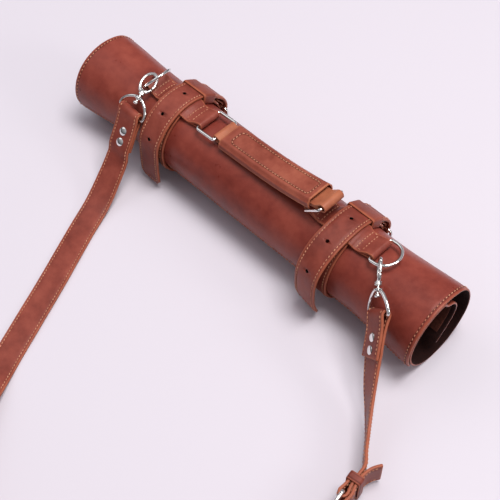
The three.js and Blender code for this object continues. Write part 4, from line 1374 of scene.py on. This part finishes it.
# ---------------------------------------------------------------- swivel clasps
HOOK_CENTRE = 17.5
HOOK_HALF = 7
HOOK_REACH = 10.5
BOW_HALF = 16
GATE_FROM = -4.8
GATE_TO = 5.7
GATE_CUT = (-5.5, 6)
CAST_SWELL = 0.6
CAST_THICKEST = 0.8
CAST_SPREAD = 0.12


def bezier(points, steps):
    a, b, c, d = [vec(*p) for p in points]
    return [(1 - t) ** 3 * a + 3 * (1 - t) ** 2 * t * b + 3 * (1 - t) * t * t * c + t ** 3 * d
            for t in np.linspace(0, 1, steps + 1)]


def bow(side, clasp):
    up = clasp["swivel"] - clasp["bar"]
    reach = float(np.linalg.norm(up))
    wide = BOW_HALF
    right = [vec(wide - 1.5, 0), vec(wide - 0.3, 0.7), vec(wide, 2), vec(wide, 3.5)]
    right += bezier([(wide, 3.5), (wide - 0.5, 9), (9, reach - 2), (3, reach)], 14)[1:]
    left = [vec(-p[0], p[1]) for p in right[::-1]]
    line = [vec(0, 0), *right, *left]
    ring, over = placed(line, clasp["bar"], clasp["across"], up)
    collar = tube_shell(2.3, 3.9, 1.2, clasp["swivel"], up)
    metal(f"{side}_clasp_bow_metal", [wire_shell(ring, HOOK_WIRE, over, True), collar],
          f"{side}_clasp_bow")


def hook_axes(clasp):
    along = clasp["hook_end"] - clasp["swivel"]
    tilt = np.dot(clasp["hook_across"], along) / np.dot(along, along)
    return clasp["hook_across"] - tilt * along, along


def hook_line(clasp, low, high, outside):
    """Points of the hook's oval loop, the part beside the gate or the rest of it."""
    start = math.degrees(math.asin(low / HOOK_REACH))
    end = math.degrees(math.asin(high / HOOK_REACH))
    turns = np.linspace(end, start + 360, 44) if outside else np.linspace(start, end, 14)
    oval = [(HOOK_HALF * math.cos(math.radians(t)),
             HOOK_CENTRE + HOOK_REACH * math.sin(math.radians(t))) for t in turns]
    across, along = hook_axes(clasp)
    return placed(oval, clasp["swivel"], across, along)


def hook(side, clasp):
    line, over = hook_line(clasp, *GATE_CUT, True)
    heights = np.linspace(0, 1, len(line))
    cast = HOOK_WIRE + CAST_SWELL * np.exp(-((heights - CAST_THICKEST) / CAST_SPREAD) ** 2)
    axis = unit(clasp["hook_end"] - clasp["swivel"])
    post = [(-7.6, 0.8), (-7.2, 1.9), (-6.4, 2.55), (-5.4, 2.55), (-4.4, 1.9), (-4, 1.1),
            (3.2, 1.1), (3.4, 2.7), (3.8, 3.3), (4.8, 3.3), (5.1, 2.7), (5.5, 2.7), (5.8, 3.2),
            (6.8, 3.2), (7.6, 2.5), (8.0, 1.2)]
    metal(f"{side}_clasp_hook_metal", [wire_shell(line, cast, over),
                                       lathe_shell(post, clasp["swivel"], axis)],
          f"{side}_clasp_hook")


def gate(side, clasp):
    line, over = hook_line(clasp, GATE_FROM, GATE_TO, False)
    metal(f"{side}_clasp_gate_metal", [wire_shell(line[1:-1], HOOK_WIRE - 0.2, over)],
          f"{side}_clasp_gate")


for the_side, the_clasp in CLASPS.items():
    bow(the_side, the_clasp)
    hook(the_side, the_clasp)
    gate(the_side, the_clasp)


# ---------------------------------------------------------------- floor and light
FLOOR_HALF = 8
LAMPS = (
    ("key", (0.5, 0.45, 3.1), 1.5, 98, (1.0, 0.98, 0.96)),
    ("strip", (1.5, 0.5, 0.9), 0.5, 5, (1.0, 0.99, 0.97)),
    ("fill", (-1.3, -0.4, 1.5), 1.4, 5, (0.97, 0.97, 1.0)),
)
LAMPS_AIM = Vector((0.05, -0.08, 0.0))
SKY_STOPS = ((0.05, (0.1, 0.095, 0.11, 1.0)), (0.8, (0.97, 0.95, 1.0, 1.0)))
SKY_STRENGTH = 0.5


def floor():
    material, tree, shader = new_material("paper")
    tooth = noise_texture(tree, Scale=300.0, Detail=4.0)
    shader.inputs["Base Color"].default_value = rgb("cec8d1")
    shader.inputs["Roughness"].default_value = 0.85
    shader.inputs["Specular IOR Level"].default_value = 0.2
    tree.links.new(bump_from(tree, tooth, 0.05, 0.0003), shader.inputs["Normal"])
    half = FLOOR_HALF
    mesh = bpy.data.meshes.new("floor")
    corners = [(-half, -half, 0), (half, -half, 0), (half, half, 0), (-half, half, 0)]
    mesh.from_pydata(corners, [], [(0, 1, 2, 3)])
    mesh.materials.append(material)
    plane = bpy.data.objects.new("floor", mesh)
    bpy.context.scene.collection.objects.link(plane)


def area_light(name, place, size, power, colour):
    data = bpy.data.lights.new(name, "AREA")
    data.size = size
    data.energy = power
    data.color = colour
    lamp = bpy.data.objects.new(name, data)
    lamp.location = place
    aim = LAMPS_AIM - Vector(place)
    lamp.rotation_mode = "QUATERNION"
    lamp.rotation_quaternion = aim.to_track_quat("-Z", "Y")
    bpy.context.scene.collection.objects.link(lamp)


def light():
    """Three soft lamps under a sky that is dark at the horizon and bright overhead."""
    for lamp in LAMPS:
        area_light(*lamp)
    world = bpy.data.worlds.new("studio")
    world.use_nodes = True
    tree = world.node_tree
    sky = tree.nodes["Background"]
    split = node(tree, "ShaderNodeSeparateXYZ")
    tree.links.new(node(tree, "ShaderNodeTexCoord").outputs["Generated"], split.inputs[0])
    dome = node(tree, "ShaderNodeValToRGB")
    for element, (position, colour) in zip(dome.color_ramp.elements, SKY_STOPS):
        element.position = position
        element.color = colour
    tree.links.new(split.outputs["Z"], dome.inputs["Fac"])
    tree.links.new(dome.outputs["Color"], sky.inputs["Color"])
    sky.inputs["Strength"].default_value = SKY_STRENGTH
    bpy.context.scene.world = world


floor()
light()
bpy.context.scene.view_settings.view_transform = "Standard"
